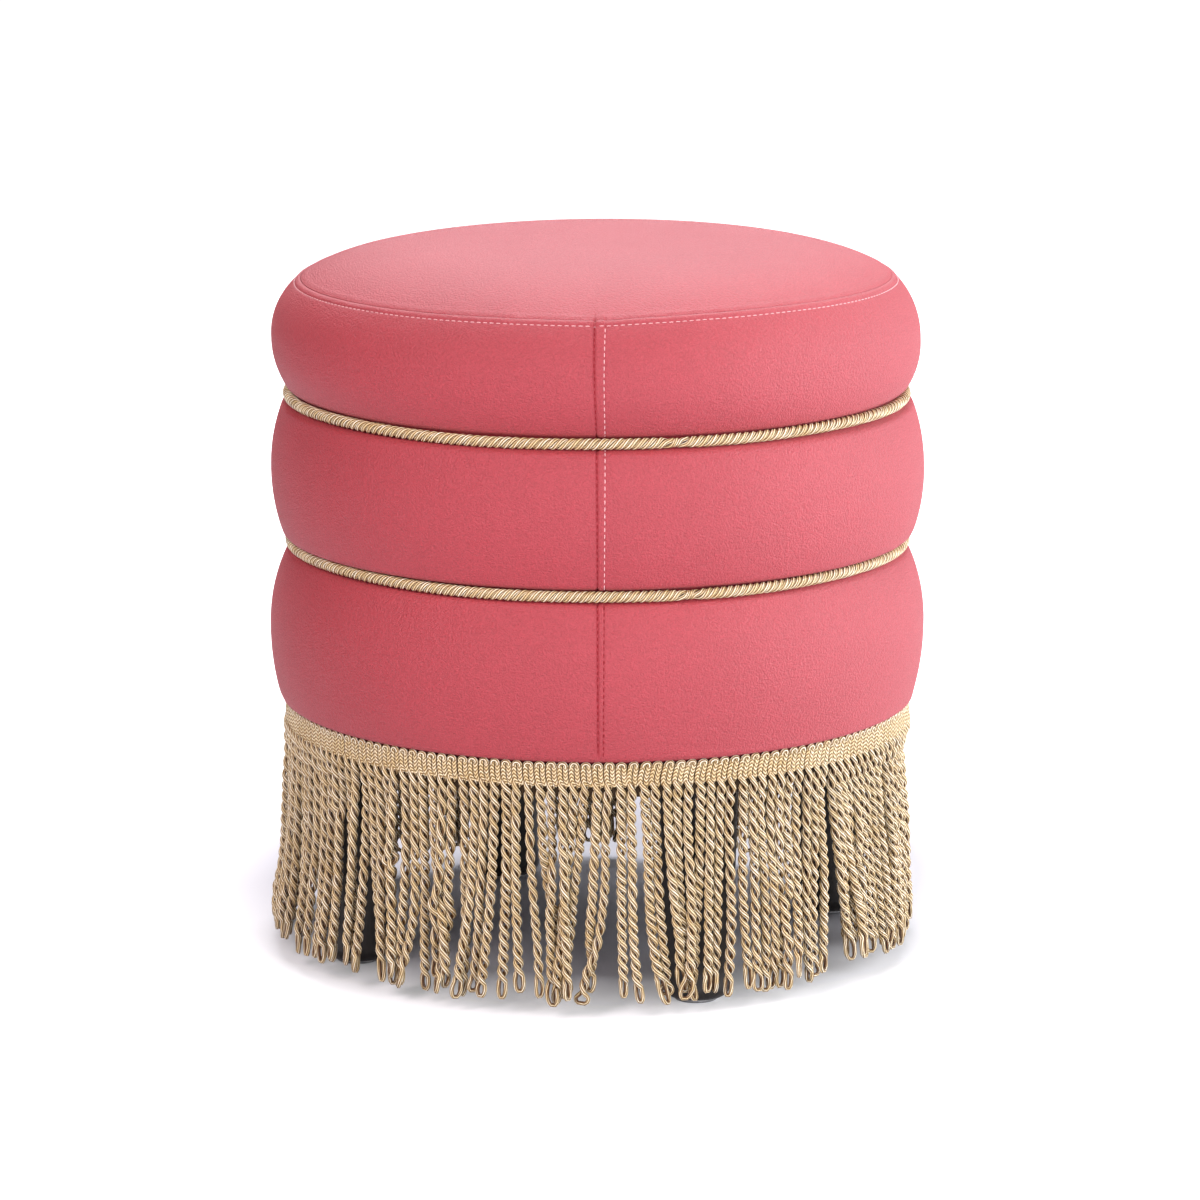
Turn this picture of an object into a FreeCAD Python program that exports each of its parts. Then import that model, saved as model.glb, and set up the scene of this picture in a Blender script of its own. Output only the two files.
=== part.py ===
import FreeCAD, Part
import math
import os
import Sketcher
from FreeCAD import Placement, Rotation, Vector

# Round upholstered tuffet on four legs, millimetres, +Z up, origin on the floor under its middle
# The seam of the side cover faces -Y

SIZES = {
    # Legs, from the floor up
    "glide_thickness": 3.0,
    "glide_radius": 14.0,
    "glide_edge": 1.5,
    "nail_radius": 1.25,
    "nail_length": 13.0,
    "leg_length": 136.0,
    "leg_top_radius": 26.0,
    "leg_ankle_radius": 22.5,
    "leg_foot_radius": 17.5,
    "leg_foot_height": 9.0,
    "leg_foot_flat_radius": 13.5,
    "leg_inset": 31.1,
    "leg_count": 4,
    "leg_start_angle": 291.9,
    # Leg fixings
    "bolt_radius": 4.0,
    "bolt_grip": 30.0,
    "bolt_point": 4.0,
    "bolt_recess": 0.6,
    "nut_barrel_radius": 5.0,
    "nut_barrel_length": 11.0,
    "nut_flange_radius": 10.0,
    "nut_flange_thickness": 1.5,
    # Boards, drum and rails
    "board_ledge": 17.7,
    "base_board_thickness": 18.0,
    "seat_board_thickness": 12.0,
    "drum_radius": 180.0,
    "skin_thickness": 3.0,
    "upright_depth": 30.0,
    "upright_width": 40.0,
    "upright_count": 6,
    "upright_start_angle": 15.0,
    "rail_depth": 12.5,
    "rail_height": 12.0,
    # Frame screws
    "screw_head_radius": 4.5,
    "screw_head_height": 3.0,
    "screw_shank_radius": 2.2,
    "screw_length": 45.0,
    "screw_point": 4.0,
    # Covers and their staples
    "cover_thickness": 1.5,
    "hem_width": 23.5,
    "dust_cover_inset": 8.7,
    "dust_cover_thickness": 0.8,
    "staple_wire": 0.7,
    "staple_crown": 10.0,
    "staple_depth": 8.0,
    "cover_staple_inset": 9.7,
    "cover_staple_count": 24,
    "dust_staple_inset": 16.7,
    "dust_staple_count": 16,
    # Rolls and grooves
    "lower_roll_rise": 68.9,
    "lower_groove_rise": 125.0,
    "groove_spacing": 95.0,
    "upper_roll_rise": 35.5,
    "seam_rise": 41.3,
    "lower_swell": 13.2,
    "middle_swell": 12.2,
    "upper_swell": 10.6,
    "groove_lip": 1.5,
    "roll_overhang": 2.0,
    # Crowned top
    "seam_inset": 19.2,
    "panel_edge": 4.0,
    "crown_height": 19.5,
    "dome_radius": 111.0,
    "dome_drop": 3.0,
    # Padding
    "roll_wadding_thickness": 4.0,
    "seat_wadding_thickness": 6.0,
    # Cords and fringe
    "cord_radius": 3.4,
    "header_lift": 4.4,
    "header_height": 18.0,
    "header_thickness": 2.8,
    "strand_radius": 3.0,
    "strand_length": 134.4,
    "strands_per_sector": 22,
    # Clearances: round soft pieces, and holes round metal
    "soft_gap": 0.3,
    "hole_gap": 0.2,
}
FRINGE_SECTORS = 8

doc = FreeCAD.newDocument("Tuffet")
sheet = doc.addObject("Spreadsheet::Sheet", "Sizes")
for row, (alias, size) in enumerate(SIZES.items(), start=1):
    sheet.set(f"A{row}", alias.replace("_", " "))
    sheet.set(f"B{row}", str(size))
    sheet.setAlias(f"B{row}", alias)
doc.recompute()

parts = {}


def total(*terms):
    return "(" + " + ".join(terms) + ")"


def number(expression):
    value = sheet.evalExpression(expression)
    return float(getattr(value, "Value", value))


# Radii that follow from the stack of layers
BOARD_RADIUS = total("Sizes.drum_radius", "Sizes.board_ledge")
CHANNEL = total("Sizes.cord_radius", "Sizes.soft_gap")
RAIL_RADIUS = total("Sizes.drum_radius", "Sizes.soft_gap", "Sizes.rail_depth")
CORD_RING = total(RAIL_RADIUS, "Sizes.soft_gap", "Sizes.cover_thickness", CHANNEL)
GROOVE_LIP = total(CORD_RING, "Sizes.groove_lip")
SKIRT = total(BOARD_RADIUS, "Sizes.soft_gap", "Sizes.cover_thickness")
HEADER_INSIDE = total(SKIRT, "Sizes.soft_gap")
HEADER_OUTSIDE = total(HEADER_INSIDE, "Sizes.header_thickness")
STRAND_RING = total(HEADER_INSIDE, "Sizes.strand_radius")
LEG_RING = f"({BOARD_RADIUS} - Sizes.leg_inset)"
DUST_COVER_RADIUS = f"({BOARD_RADIUS} - Sizes.dust_cover_inset)"
COVER_STAPLE_RING = f"({BOARD_RADIUS} - Sizes.cover_staple_inset)"
DUST_STAPLE_RING = f"({BOARD_RADIUS} - Sizes.dust_staple_inset)"
DRUM_INSIDE = "(Sizes.drum_radius - Sizes.skin_thickness)"
UPRIGHT_FACE = f"sqrt(({DRUM_INSIDE} - Sizes.soft_gap)^2 - (Sizes.upright_width / 2)^2)"
SCREW_RING = f"({UPRIGHT_FACE} - Sizes.upright_depth / 2)"

# Heights above the floor
LEG_TOP = total("Sizes.glide_thickness", "Sizes.leg_length")
DUST_COVER_TOP = total(LEG_TOP, "Sizes.dust_cover_thickness")
HEM_BOTTOM = total(DUST_COVER_TOP, "Sizes.staple_wire")
BASE = total(HEM_BOTTOM, "Sizes.cover_thickness")
BASE_TOP = total(BASE, "Sizes.base_board_thickness")
HEADER_BOTTOM = total(BASE, "Sizes.header_lift")
HEADER_TOP = total(HEADER_BOTTOM, "Sizes.header_height")
LEDGE = total(HEADER_TOP, "Sizes.soft_gap")
LOWER_LEVEL = total(BASE, "Sizes.lower_roll_rise")
LOWER_GROOVE = total(BASE, "Sizes.lower_groove_rise")
UPPER_GROOVE = total(LOWER_GROOVE, "Sizes.groove_spacing")
MIDDLE_LEVEL = total(LOWER_GROOVE, "Sizes.groove_spacing / 2")
UPPER_LEVEL = total(UPPER_GROOVE, "Sizes.upper_roll_rise")
SEAM = total(UPPER_LEVEL, "Sizes.seam_rise")
CROWN = total(SEAM, "Sizes.crown_height")
SEAT_BOARD_BOTTOM = f"({UPPER_LEVEL} - Sizes.seat_board_thickness)"

# Depths of the layers below the outer face of the velvet
UNDER_COVER = total("Sizes.cover_thickness", "Sizes.soft_gap")
UNDER_ROLL_WADDING = total(UNDER_COVER, "Sizes.roll_wadding_thickness")
ROLL_FOAM = total(UNDER_ROLL_WADDING, "Sizes.soft_gap")
UNDER_SEAT_WADDING = total(UNDER_COVER, "Sizes.seat_wadding_thickness")
SEAT_FOAM = total(UNDER_SEAT_WADDING, "Sizes.soft_gap")

# Each roll's face is two arcs that meet at its widest line
# Kept here: the widest radius, its height, and the lip where each arc ends
LOWER_RADIUS = total(CORD_RING, "Sizes.lower_swell")
MIDDLE_RADIUS = total(CORD_RING, "Sizes.middle_swell")
UPPER_RADIUS = total(CORD_RING, "Sizes.upper_swell")
LEDGE_LIP = total(HEADER_OUTSIDE, "Sizes.roll_overhang")
SEAM_RADIUS = f"({UPPER_RADIUS} - Sizes.seam_inset)"
FACES = {
    "lower_under": (LOWER_RADIUS, LOWER_LEVEL, LEDGE_LIP, LEDGE),
    "lower_over": (LOWER_RADIUS, LOWER_LEVEL, GROOVE_LIP, f"({LOWER_GROOVE} - {CHANNEL})"),
    "middle_under": (MIDDLE_RADIUS, MIDDLE_LEVEL, GROOVE_LIP, f"({LOWER_GROOVE} + {CHANNEL})"),
    "middle_over": (MIDDLE_RADIUS, MIDDLE_LEVEL, GROOVE_LIP, f"({UPPER_GROOVE} - {CHANNEL})"),
    "upper_under": (UPPER_RADIUS, UPPER_LEVEL, GROOVE_LIP, f"({UPPER_GROOVE} + {CHANNEL})"),
    "upper_over": (UPPER_RADIUS, UPPER_LEVEL, SEAM_RADIUS, SEAM),
}


# Radius of a roll's face at a height, a depth below its velvet
def face(which, depth, height):
    widest, level, lip_radius, lip_height = FACES[which]
    sag = f"({widest} - {lip_radius})"
    bend = f"(({sag}^2 + ({lip_height} - {level})^2) / (2 * {sag}))"
    return f"({widest} - {bend} + sqrt(({bend} - {depth})^2 - ({height} - {level})^2))"


def plane(body, role):
    return next(item for item in body.Origin.OriginFeatures if item.Role == role)


def new_body(label):
    body = doc.addObject("PartDesign::Body", label)
    body.Label = label
    parts[label] = body
    return body


# Sketch on an origin plane, lifted off it and turned about the upright axis
def new_sketch(body, name, role, lift=None, turn=None):
    sketch = body.newObject("Sketcher::SketchObject", f"{body.Label}_{name}")
    sketch.AttachmentSupport = [(plane(body, role), "")]
    sketch.MapMode = "FlatFace"
    upright = Vector(0, 0, 1) if role == "XY_Plane" else Vector(0, 1, 0)
    sketch.AttachmentOffset = Placement(Vector(), Rotation(upright, 0))
    if lift:
        sketch.setExpression("AttachmentOffset.Base.z", lift)
    if turn:
        sketch.setExpression("AttachmentOffset.Rotation.Angle", turn)
    return sketch


def bind(sketch, kind, places, expression):
    index = sketch.addConstraint(Sketcher.Constraint(kind, *places, number(expression)))
    sketch.setExpression(f"Constraints[{index}]", expression)


# Arc from start to end about a centre, and which of its ends is the start
def arc_about(centre, start, end, turns_left):
    first, last = (start, end) if turns_left else (end, start)
    angles = [math.atan2(point.y - centre.y, point.x - centre.x) for point in (first, last)]
    circle = Part.Circle(centre, Vector(0, 0, 1), (start - centre).Length)
    return Part.ArcOfCircle(circle, *angles), (1, 2) if turns_left else (2, 1)


# Closed outline from corners (across, up, edge to the next corner)
# An edge is None for a line, "smooth" for an arc that runs on from the edge before,
# or (turn, axis, expression): an arc that turns left or right about a centre with one
# coordinate given
def draw_outline(sketch, corners):
    points = [Vector(number(across), number(up), 0) for across, up, edge in corners]
    first = sketch.GeometryCount
    ends = []
    heading = None
    for index, (across, up, edge) in enumerate(corners):
        start = points[index]
        end = points[(index + 1) % len(points)]
        middle = (start + end) / 2
        normal = Vector(start.y - end.y, end.x - start.x, 0).normalize()
        if edge is None:
            sketch.addGeometry(Part.LineSegment(start, end))
            ends.append((1, 2))
            heading = (end - start).normalize()
            continue
        if edge == "smooth":
            side = Vector(-heading.y, heading.x, 0)
            reach = (end - start).Length ** 2 / (2 * (end - start).dot(side))
            centre = start + side * reach
            turns_left = reach > 0
        else:
            turn, axis, expression = edge
            along = normal.x if axis == "x" else normal.y
            offset = number(expression) - (middle.x if axis == "x" else middle.y)
            centre = middle + normal * (offset / along)
            turns_left = turn == "left"
        shape, pair = arc_about(centre, start, end, turns_left)
        sketch.addGeometry(shape)
        ends.append(pair)
        spoke = end - centre
        heading = Vector(-spoke.y, spoke.x, 0).normalize() * (1 if turns_left else -1)
    for index, (across, up, edge) in enumerate(corners):
        here = first + index
        before = first + (index - 1) % len(corners)
        start_end = ends[index][0]
        before_end = ends[index - 1][1]
        if edge == "smooth":
            places = (before, before_end, here, start_end)
            sketch.addConstraint(Sketcher.Constraint("Tangent", *places))
        else:
            places = (before, before_end, here, start_end)
            sketch.addConstraint(Sketcher.Constraint("Coincident", *places))
        if across == "0":
            sketch.addConstraint(Sketcher.Constraint("PointOnObject", here, start_end, -2))
        else:
            bind(sketch, "DistanceX", (-1, 1, here, start_end), across)
        bind(sketch, "DistanceY", (-1, 1, here, start_end), up)
        if edge and edge != "smooth":
            turn, axis, expression = edge
            if expression == "0":
                sketch.addConstraint(Sketcher.Constraint("PointOnObject", here, 3, -2))
            else:
                kind = "DistanceX" if axis == "x" else "DistanceY"
                bind(sketch, kind, (-1, 1, here, 3), expression)


# Upright construction line that an outline off the middle turns about
def draw_axis(sketch, across):
    place = number(across)
    index = sketch.addGeometry(Part.LineSegment(Vector(place, 0, 0), Vector(place, 1, 0)), True)
    sketch.addConstraint(Sketcher.Constraint("Vertical", index))
    sketch.addConstraint(Sketcher.Constraint("PointOnObject", index, 1, -1))
    bind(sketch, "DistanceX", (-1, 1, index, 1), across)
    sketch.addConstraint(Sketcher.Constraint("DistanceY", index, 1, index, 2, 1))


# Outline turned all the way round the upright axis, or round a line beside it
def turn_outline(body, name, corners, kind="Revolution", across=None, angle=None):
    sketch = new_sketch(body, f"{name}_outline", "XZ_Plane", turn=angle)
    draw_outline(sketch, corners)
    axis = "V_Axis"
    if across:
        draw_axis(sketch, across)
        axis = "Axis0"
    feature = body.newObject(f"PartDesign::{kind}", f"{body.Label}_{name}")
    feature.Profile = sketch
    feature.ReferenceAxis = (sketch, [axis])
    feature.Angle = 360
    sketch.Visibility = False
    return feature


def repeat_round(body, name, features, count, angle=None):
    pattern = body.newObject("PartDesign::PolarPattern", f"{body.Label}_{name}")
    pattern.Originals = features
    pattern.Axis = (plane(body, "Z_Axis"), [""])
    pattern.Angle = 360
    pattern.setExpression("Occurrences", count)
    if angle:
        pattern.setExpression("Angle", angle)
    body.Tip = pattern
    return pattern


def turned(label, corners):
    body = new_body(label)
    turn_outline(body, "turned", corners)
    return body


def place_at(body, radius, angle):
    body.setExpression("Placement.Base.x", f"{radius} * cos({angle})")
    body.setExpression("Placement.Base.y", f"{radius} * sin({angle})")
    body.setExpression("Placement.Rotation.Angle", angle)


def leg_angle(index):
    return f"(Sizes.leg_start_angle + {index} * 360 / Sizes.leg_count)"


# Half the angle between two staples of a ring, which keeps them clear of the legs
def half_step(count):
    return f"(180 / {count})"


# Disc padded up from a height
def disc(label, radius, thickness, bottom):
    body = new_body(label)
    sketch = new_sketch(body, "circle", "XY_Plane", lift=bottom)
    sketch.addGeometry(Part.Circle(Vector(), Vector(0, 0, 1), number(radius)))
    sketch.addConstraint(Sketcher.Constraint("Coincident", 0, 3, -1, 1))
    bind(sketch, "Radius", (0,), radius)
    pad = body.newObject("PartDesign::Pad", f"{label}_pad")
    pad.Profile = sketch
    pad.setExpression("Length", thickness)
    return body


# Stepped hole for a leg's bolt and nut, repeated at every leg
def cut_leg_holes(body, corners):
    groove = turn_outline(body, "leg_hole", corners, "Groove", LEG_RING)
    repeat_round(body, "leg_holes", [groove], "Sizes.leg_count")


# Corners of a square tube of space for one staple leg
def staple_leg(side, ring):
    middle = f"{side} * (Sizes.staple_crown - Sizes.staple_wire) / 2"
    wide = "(Sizes.staple_wire / 2 + Sizes.hole_gap)"
    corners = [(-1, -1), (1, -1), (1, 1), (-1, 1)]
    return [(f"{ring} + {a} * {wide}", f"{middle} + {b} * {wide}", None) for a, b in corners]


# Two small holes under every staple of a ring, cut up from a height
def cut_staple_holes(body, name, ring, count, bottom, depth, angle="0"):
    sketch = new_sketch(body, f"{name}_slots", "XY_Plane", lift=bottom, turn=angle)
    for side in (-1, 1):
        draw_outline(sketch, staple_leg(side, ring))
    pocket = body.newObject("PartDesign::Pocket", f"{body.Label}_{name}_pocket")
    pocket.Profile = sketch
    pocket.Reversed = True
    pocket.setExpression("Length", depth)
    repeat_round(body, f"{name}_holes", [pocket], count)


def screw_corners(across, head, way, gap="0"):
    radius = f"(Sizes.screw_shank_radius + {gap})"
    shoulder = f"{head} + {way} * Sizes.screw_head_height"
    tip = f"{head} + {way} * (Sizes.screw_length + {gap})"
    neck = f"{head} + {way} * (Sizes.screw_length - Sizes.screw_point)"
    return [
        (across, head, None),
        (f"{across} + Sizes.screw_head_radius + {gap}", head, None),
        (f"{across} + {radius}", shoulder, None),
        (f"{across} + {radius}", neck, None),
        (across, tip, None),
    ]


def cut_screw_holes(body, head, way, angle):
    corners = screw_corners(SCREW_RING, head, way, "Sizes.hole_gap")
    groove = turn_outline(body, "screw_hole", corners, "Groove", SCREW_RING, angle)
    repeat_round(body, "screw_holes", [groove], "Sizes.upright_count")


def make_leg(index):
    bolt_hole = total("Sizes.bolt_radius", "Sizes.hole_gap")
    nail_hole = total("Sizes.nail_radius", "Sizes.hole_gap")
    bottom = "Sizes.glide_thickness"
    ankle = total(bottom, "Sizes.leg_foot_height")
    nail_top = total(bottom, "Sizes.nail_length", "Sizes.hole_gap")
    bolt_bottom = f"({LEG_TOP} - Sizes.bolt_grip - Sizes.hole_gap)"
    leg = turned(f"leg_{index + 1}", [
        (nail_hole, bottom, None),
        ("Sizes.leg_foot_radius", bottom, ("left", "x", "Sizes.leg_foot_flat_radius")),
        ("Sizes.leg_ankle_radius", ankle, None),
        ("Sizes.leg_top_radius", LEG_TOP, None),
        (bolt_hole, LEG_TOP, None),
        (bolt_hole, bolt_bottom, None),
        ("0", bolt_bottom, None),
        ("0", nail_top, None),
        (nail_hole, nail_top, None),
    ])
    place_at(leg, LEG_RING, leg_angle(index))


def make_glide(index):
    nail_top = total("Sizes.glide_thickness", "Sizes.nail_length")
    glide = turned(f"glide_{index + 1}", [
        ("0", "0", None),
        ("Sizes.glide_radius - Sizes.glide_edge", "0",
         ("left", "x", "Sizes.glide_radius - Sizes.glide_edge")),
        ("Sizes.glide_radius", "Sizes.glide_edge", None),
        ("Sizes.glide_radius", "Sizes.glide_thickness", None),
        ("Sizes.nail_radius", "Sizes.glide_thickness", None),
        ("Sizes.nail_radius", f"{nail_top} - Sizes.nail_radius", None),
        ("0", nail_top, None),
    ])
    place_at(glide, LEG_RING, leg_angle(index))


def make_hanger_bolt(index):
    bottom = f"({LEG_TOP} - Sizes.bolt_grip)"
    top = f"({BASE_TOP} - Sizes.bolt_recess)"
    bolt = turned(f"hanger_bolt_{index + 1}", [
        ("0", bottom, None),
        ("Sizes.bolt_radius", f"{bottom} + Sizes.bolt_point", None),
        ("Sizes.bolt_radius", top, None),
        ("0", top, None),
    ])
    place_at(bolt, LEG_RING, leg_angle(index))


def make_t_nut(index):
    bore = total("Sizes.bolt_radius", "Sizes.hole_gap")
    flange_bottom = f"({BASE_TOP} - Sizes.nut_flange_thickness)"
    barrel_bottom = f"({BASE_TOP} - Sizes.nut_barrel_length)"
    nut = turned(f"t_nut_{index + 1}", [
        (bore, barrel_bottom, None),
        ("Sizes.nut_barrel_radius", barrel_bottom, None),
        ("Sizes.nut_barrel_radius", flange_bottom, None),
        ("Sizes.nut_flange_radius", flange_bottom, None),
        ("Sizes.nut_flange_radius", BASE_TOP, None),
        (bore, BASE_TOP, None),
    ])
    place_at(nut, LEG_RING, leg_angle(index))


def make_base_board():
    board = disc("base_board", BOARD_RADIUS, "Sizes.base_board_thickness", BASE)
    board.setExpression("Placement.Rotation.Angle", "Sizes.leg_start_angle")
    barrel = f"{LEG_RING} + Sizes.nut_barrel_radius + Sizes.hole_gap"
    flange = f"{LEG_RING} + Sizes.nut_flange_radius + Sizes.hole_gap"
    seat = f"({BASE_TOP} - Sizes.nut_flange_thickness)"
    cut_leg_holes(board, [
        (LEG_RING, BASE, None),
        (barrel, BASE, None),
        (barrel, seat, None),
        (flange, seat, None),
        (flange, BASE_TOP, None),
        (LEG_RING, BASE_TOP, None),
    ])
    cut_screw_holes(board, BASE, "1", "Sizes.upright_start_angle")
    depth = "(Sizes.staple_depth + Sizes.hole_gap)"
    cut_staple_holes(board, "cover_staple", COVER_STAPLE_RING,
                     "Sizes.cover_staple_count", BASE, depth)
    cut_staple_holes(board, "dust_staple", DUST_STAPLE_RING,
                     "Sizes.dust_staple_count", BASE, depth, half_step("Sizes.dust_staple_count"))


def make_seat_board():
    thickness = "Sizes.seat_board_thickness"
    board = disc("seat_board", "Sizes.drum_radius", thickness, SEAT_BOARD_BOTTOM)
    board.setExpression("Placement.Rotation.Angle", "Sizes.leg_start_angle")
    cut_screw_holes(board, UPPER_LEVEL, "-1", "Sizes.upright_start_angle")


def make_upright(index):
    body = new_body(f"upright_{index + 1}")
    sketch = new_sketch(body, "section", "XY_Plane", lift=BASE_TOP)
    inner = f"({UPRIGHT_FACE} - Sizes.upright_depth)"
    side = "Sizes.upright_width / 2"
    draw_outline(sketch, [
        (inner, f"-{side}", None),
        (UPRIGHT_FACE, f"-{side}", None),
        (UPRIGHT_FACE, side, None),
        (inner, side, None),
    ])
    pad = body.newObject("PartDesign::Pad", f"{body.Label}_pad")
    pad.Profile = sketch
    pad.setExpression("Length", f"{SEAT_BOARD_BOTTOM} - {BASE_TOP}")
    for end, head, way in (("foot", BASE, "1"), ("top", UPPER_LEVEL, "-1")):
        corners = screw_corners(SCREW_RING, head, way, "Sizes.hole_gap")
        turn_outline(body, f"{end}_pilot", corners, "Groove", SCREW_RING)
    angle = f"Sizes.leg_start_angle + Sizes.upright_start_angle + {index} * 360 / Sizes.upright_count"
    body.setExpression("Placement.Rotation.Angle", angle)


def make_frame_screws():
    body = new_body("frame_screws")
    ends = (("foot", BASE, "1"), ("top", UPPER_LEVEL, "-1"))
    screws = [turn_outline(body, end, screw_corners(SCREW_RING, head, way), across=SCREW_RING)
              for end, head, way in ends]
    repeat_round(body, "ring", screws, "Sizes.upright_count")
    body.setExpression("Placement.Rotation.Angle", "Sizes.leg_start_angle + Sizes.upright_start_angle")


def ring_corners(inside, outside, bottom, top):
    return [(inside, bottom, None), (outside, bottom, None),
            (outside, top, None), (inside, top, None)]


def make_drum():
    turned("drum_skin", ring_corners(DRUM_INSIDE, "Sizes.drum_radius", BASE_TOP, SEAT_BOARD_BOTTOM))
    inside = total("Sizes.drum_radius", "Sizes.soft_gap")
    for label, groove in (("upper_tack_rail", UPPER_GROOVE), ("lower_tack_rail", LOWER_GROOVE)):
        bottom = f"({groove} - Sizes.rail_height / 2)"
        top = f"({groove} + Sizes.rail_height / 2)"
        turned(label, ring_corners(inside, RAIL_RADIUS, bottom, top))


# Corners up the face of a whole roll at one depth, between two heights
def climb(roll, depth, bottom, top, edge_after=None):
    widest, level = FACES[f"{roll}_under"][:2]
    about = ("left", "y", level)
    return [
        (face(f"{roll}_under", depth, bottom), bottom, about),
        (f"{widest} - {depth}", level, about),
        (face(f"{roll}_over", depth, top), top, edge_after),
    ]


def descend(roll, depth, top, bottom, edge_after=None):
    widest, level = FACES[f"{roll}_under"][:2]
    about = ("right", "y", level)
    return [
        (face(f"{roll}_over", depth, top), top, about),
        (f"{widest} - {depth}", level, about),
        (face(f"{roll}_under", depth, bottom), bottom, edge_after),
    ]


# Channel of the velvet round a cord: two corners joined by a half circle
def channel(groove, radius, turn, way):
    near = f"({groove} - {way} * {radius})"
    far = f"({groove} + {way} * {radius})"
    return [(CORD_RING, near, (turn, "x", CORD_RING)), (CORD_RING, far, None)]


# One velvet sleeve from the hem under the base, round three rolls, up to the seam
def make_side_cover():
    hem = f"({BOARD_RADIUS} - Sizes.hem_width)"
    inner = total(CHANNEL, "Sizes.cover_thickness")
    thick = "Sizes.cover_thickness"
    inner_skirt = f"({SKIRT} - {thick})"
    outside = [(hem, HEM_BOTTOM, None), (SKIRT, HEM_BOTTOM, None), (SKIRT, LEDGE, None)]
    outside += climb("lower", "0", LEDGE, f"({LOWER_GROOVE} - {CHANNEL})")
    outside += channel(LOWER_GROOVE, CHANNEL, "right", "1")
    outside += climb("middle", "0", f"({LOWER_GROOVE} + {CHANNEL})",
                     f"({UPPER_GROOVE} - {CHANNEL})")
    outside += channel(UPPER_GROOVE, CHANNEL, "right", "1")
    outside += climb("upper", "0", f"({UPPER_GROOVE} + {CHANNEL})", SEAM)
    inside = descend("upper", thick, SEAM, f"({UPPER_GROOVE} + {inner})")
    inside += channel(UPPER_GROOVE, inner, "left", "-1")
    inside += descend("middle", thick, f"({UPPER_GROOVE} - {inner})",
                      f"({LOWER_GROOVE} + {inner})")
    inside += channel(LOWER_GROOVE, inner, "left", "-1")
    inside += descend("lower", thick, f"({LOWER_GROOVE} - {inner})", total(LEDGE, thick))
    inside += [(inner_skirt, total(LEDGE, thick), None), (inner_skirt, BASE, None),
               (hem, BASE, None)]
    cover = turned("side_cover", outside + inside)
    cover.setExpression("Placement.Rotation.Angle", "Sizes.leg_start_angle")
    through = total(thick, "2 * Sizes.hole_gap")
    start = f"({HEM_BOTTOM} - Sizes.hole_gap)"
    cut_staple_holes(cover, "cover_staple", COVER_STAPLE_RING,
                     "Sizes.cover_staple_count", start, through)
    cut_staple_holes(cover, "dust_staple", DUST_STAPLE_RING, "Sizes.dust_staple_count",
                     start, through, half_step("Sizes.dust_staple_count"))


# Corners from the middle of the crown to a rim: a shallow dome and a rounder shoulder
def crown_out(depth, rim_radius, rim_height, edge_after=None):
    return [
        ("0", f"({CROWN} - {depth})", ("right", "x", "0")),
        ("Sizes.dome_radius", f"({CROWN} - Sizes.dome_drop - {depth})", "smooth"),
        (rim_radius, rim_height, edge_after),
    ]


def crown_in(depth, rim_radius, rim_height):
    shoulder = f"({CROWN} - Sizes.dome_drop - {depth})"
    rise = f"({shoulder} - {rim_height})"
    run = f"({rim_radius} - Sizes.dome_radius)"
    lean = "(2 * atan(Sizes.dome_drop / Sizes.dome_radius))"
    chord = f"sqrt({rise}^2 + {run}^2)"
    bend = f"({chord} / (2 * sin(atan({rise} / {run}) - {lean})))"
    return [
        (rim_radius, rim_height, ("left", "x", f"(Sizes.dome_radius - {bend} * sin({lean}))")),
        ("Sizes.dome_radius", shoulder, ("left", "x", "0")),
        ("0", f"({CROWN} - {depth})", None),
    ]


def make_top_panel():
    inner_rim = f"({SEAM_RADIUS} - Sizes.panel_edge)"
    turned("top_panel", crown_in("0", SEAM_RADIUS, SEAM)
           + crown_out("Sizes.cover_thickness", inner_rim, SEAM))


def make_seat_padding():
    about = ("left", "y", UPPER_LEVEL)
    wadding_top = f"({SEAM} - {UNDER_COVER})"
    wadding_rim = face("upper_over", UNDER_COVER, wadding_top)
    under = f"({SEAM} - {UNDER_SEAT_WADDING})"
    under_rim = face("upper_over", UNDER_COVER, under)
    turned("seat_wadding", crown_in(UNDER_COVER, wadding_rim, wadding_top)
           + crown_out(UNDER_SEAT_WADDING, under_rim, under, about))
    foam_top = f"({SEAM} - {SEAT_FOAM})"
    foam_rim = face("upper_over", ROLL_FOAM, foam_top)
    turned("seat_foam", [("0", UPPER_LEVEL, None),
                         (f"{UPPER_RADIUS} - {ROLL_FOAM}", UPPER_LEVEL, about)]
           + crown_in(SEAT_FOAM, foam_rim, foam_top))


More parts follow.
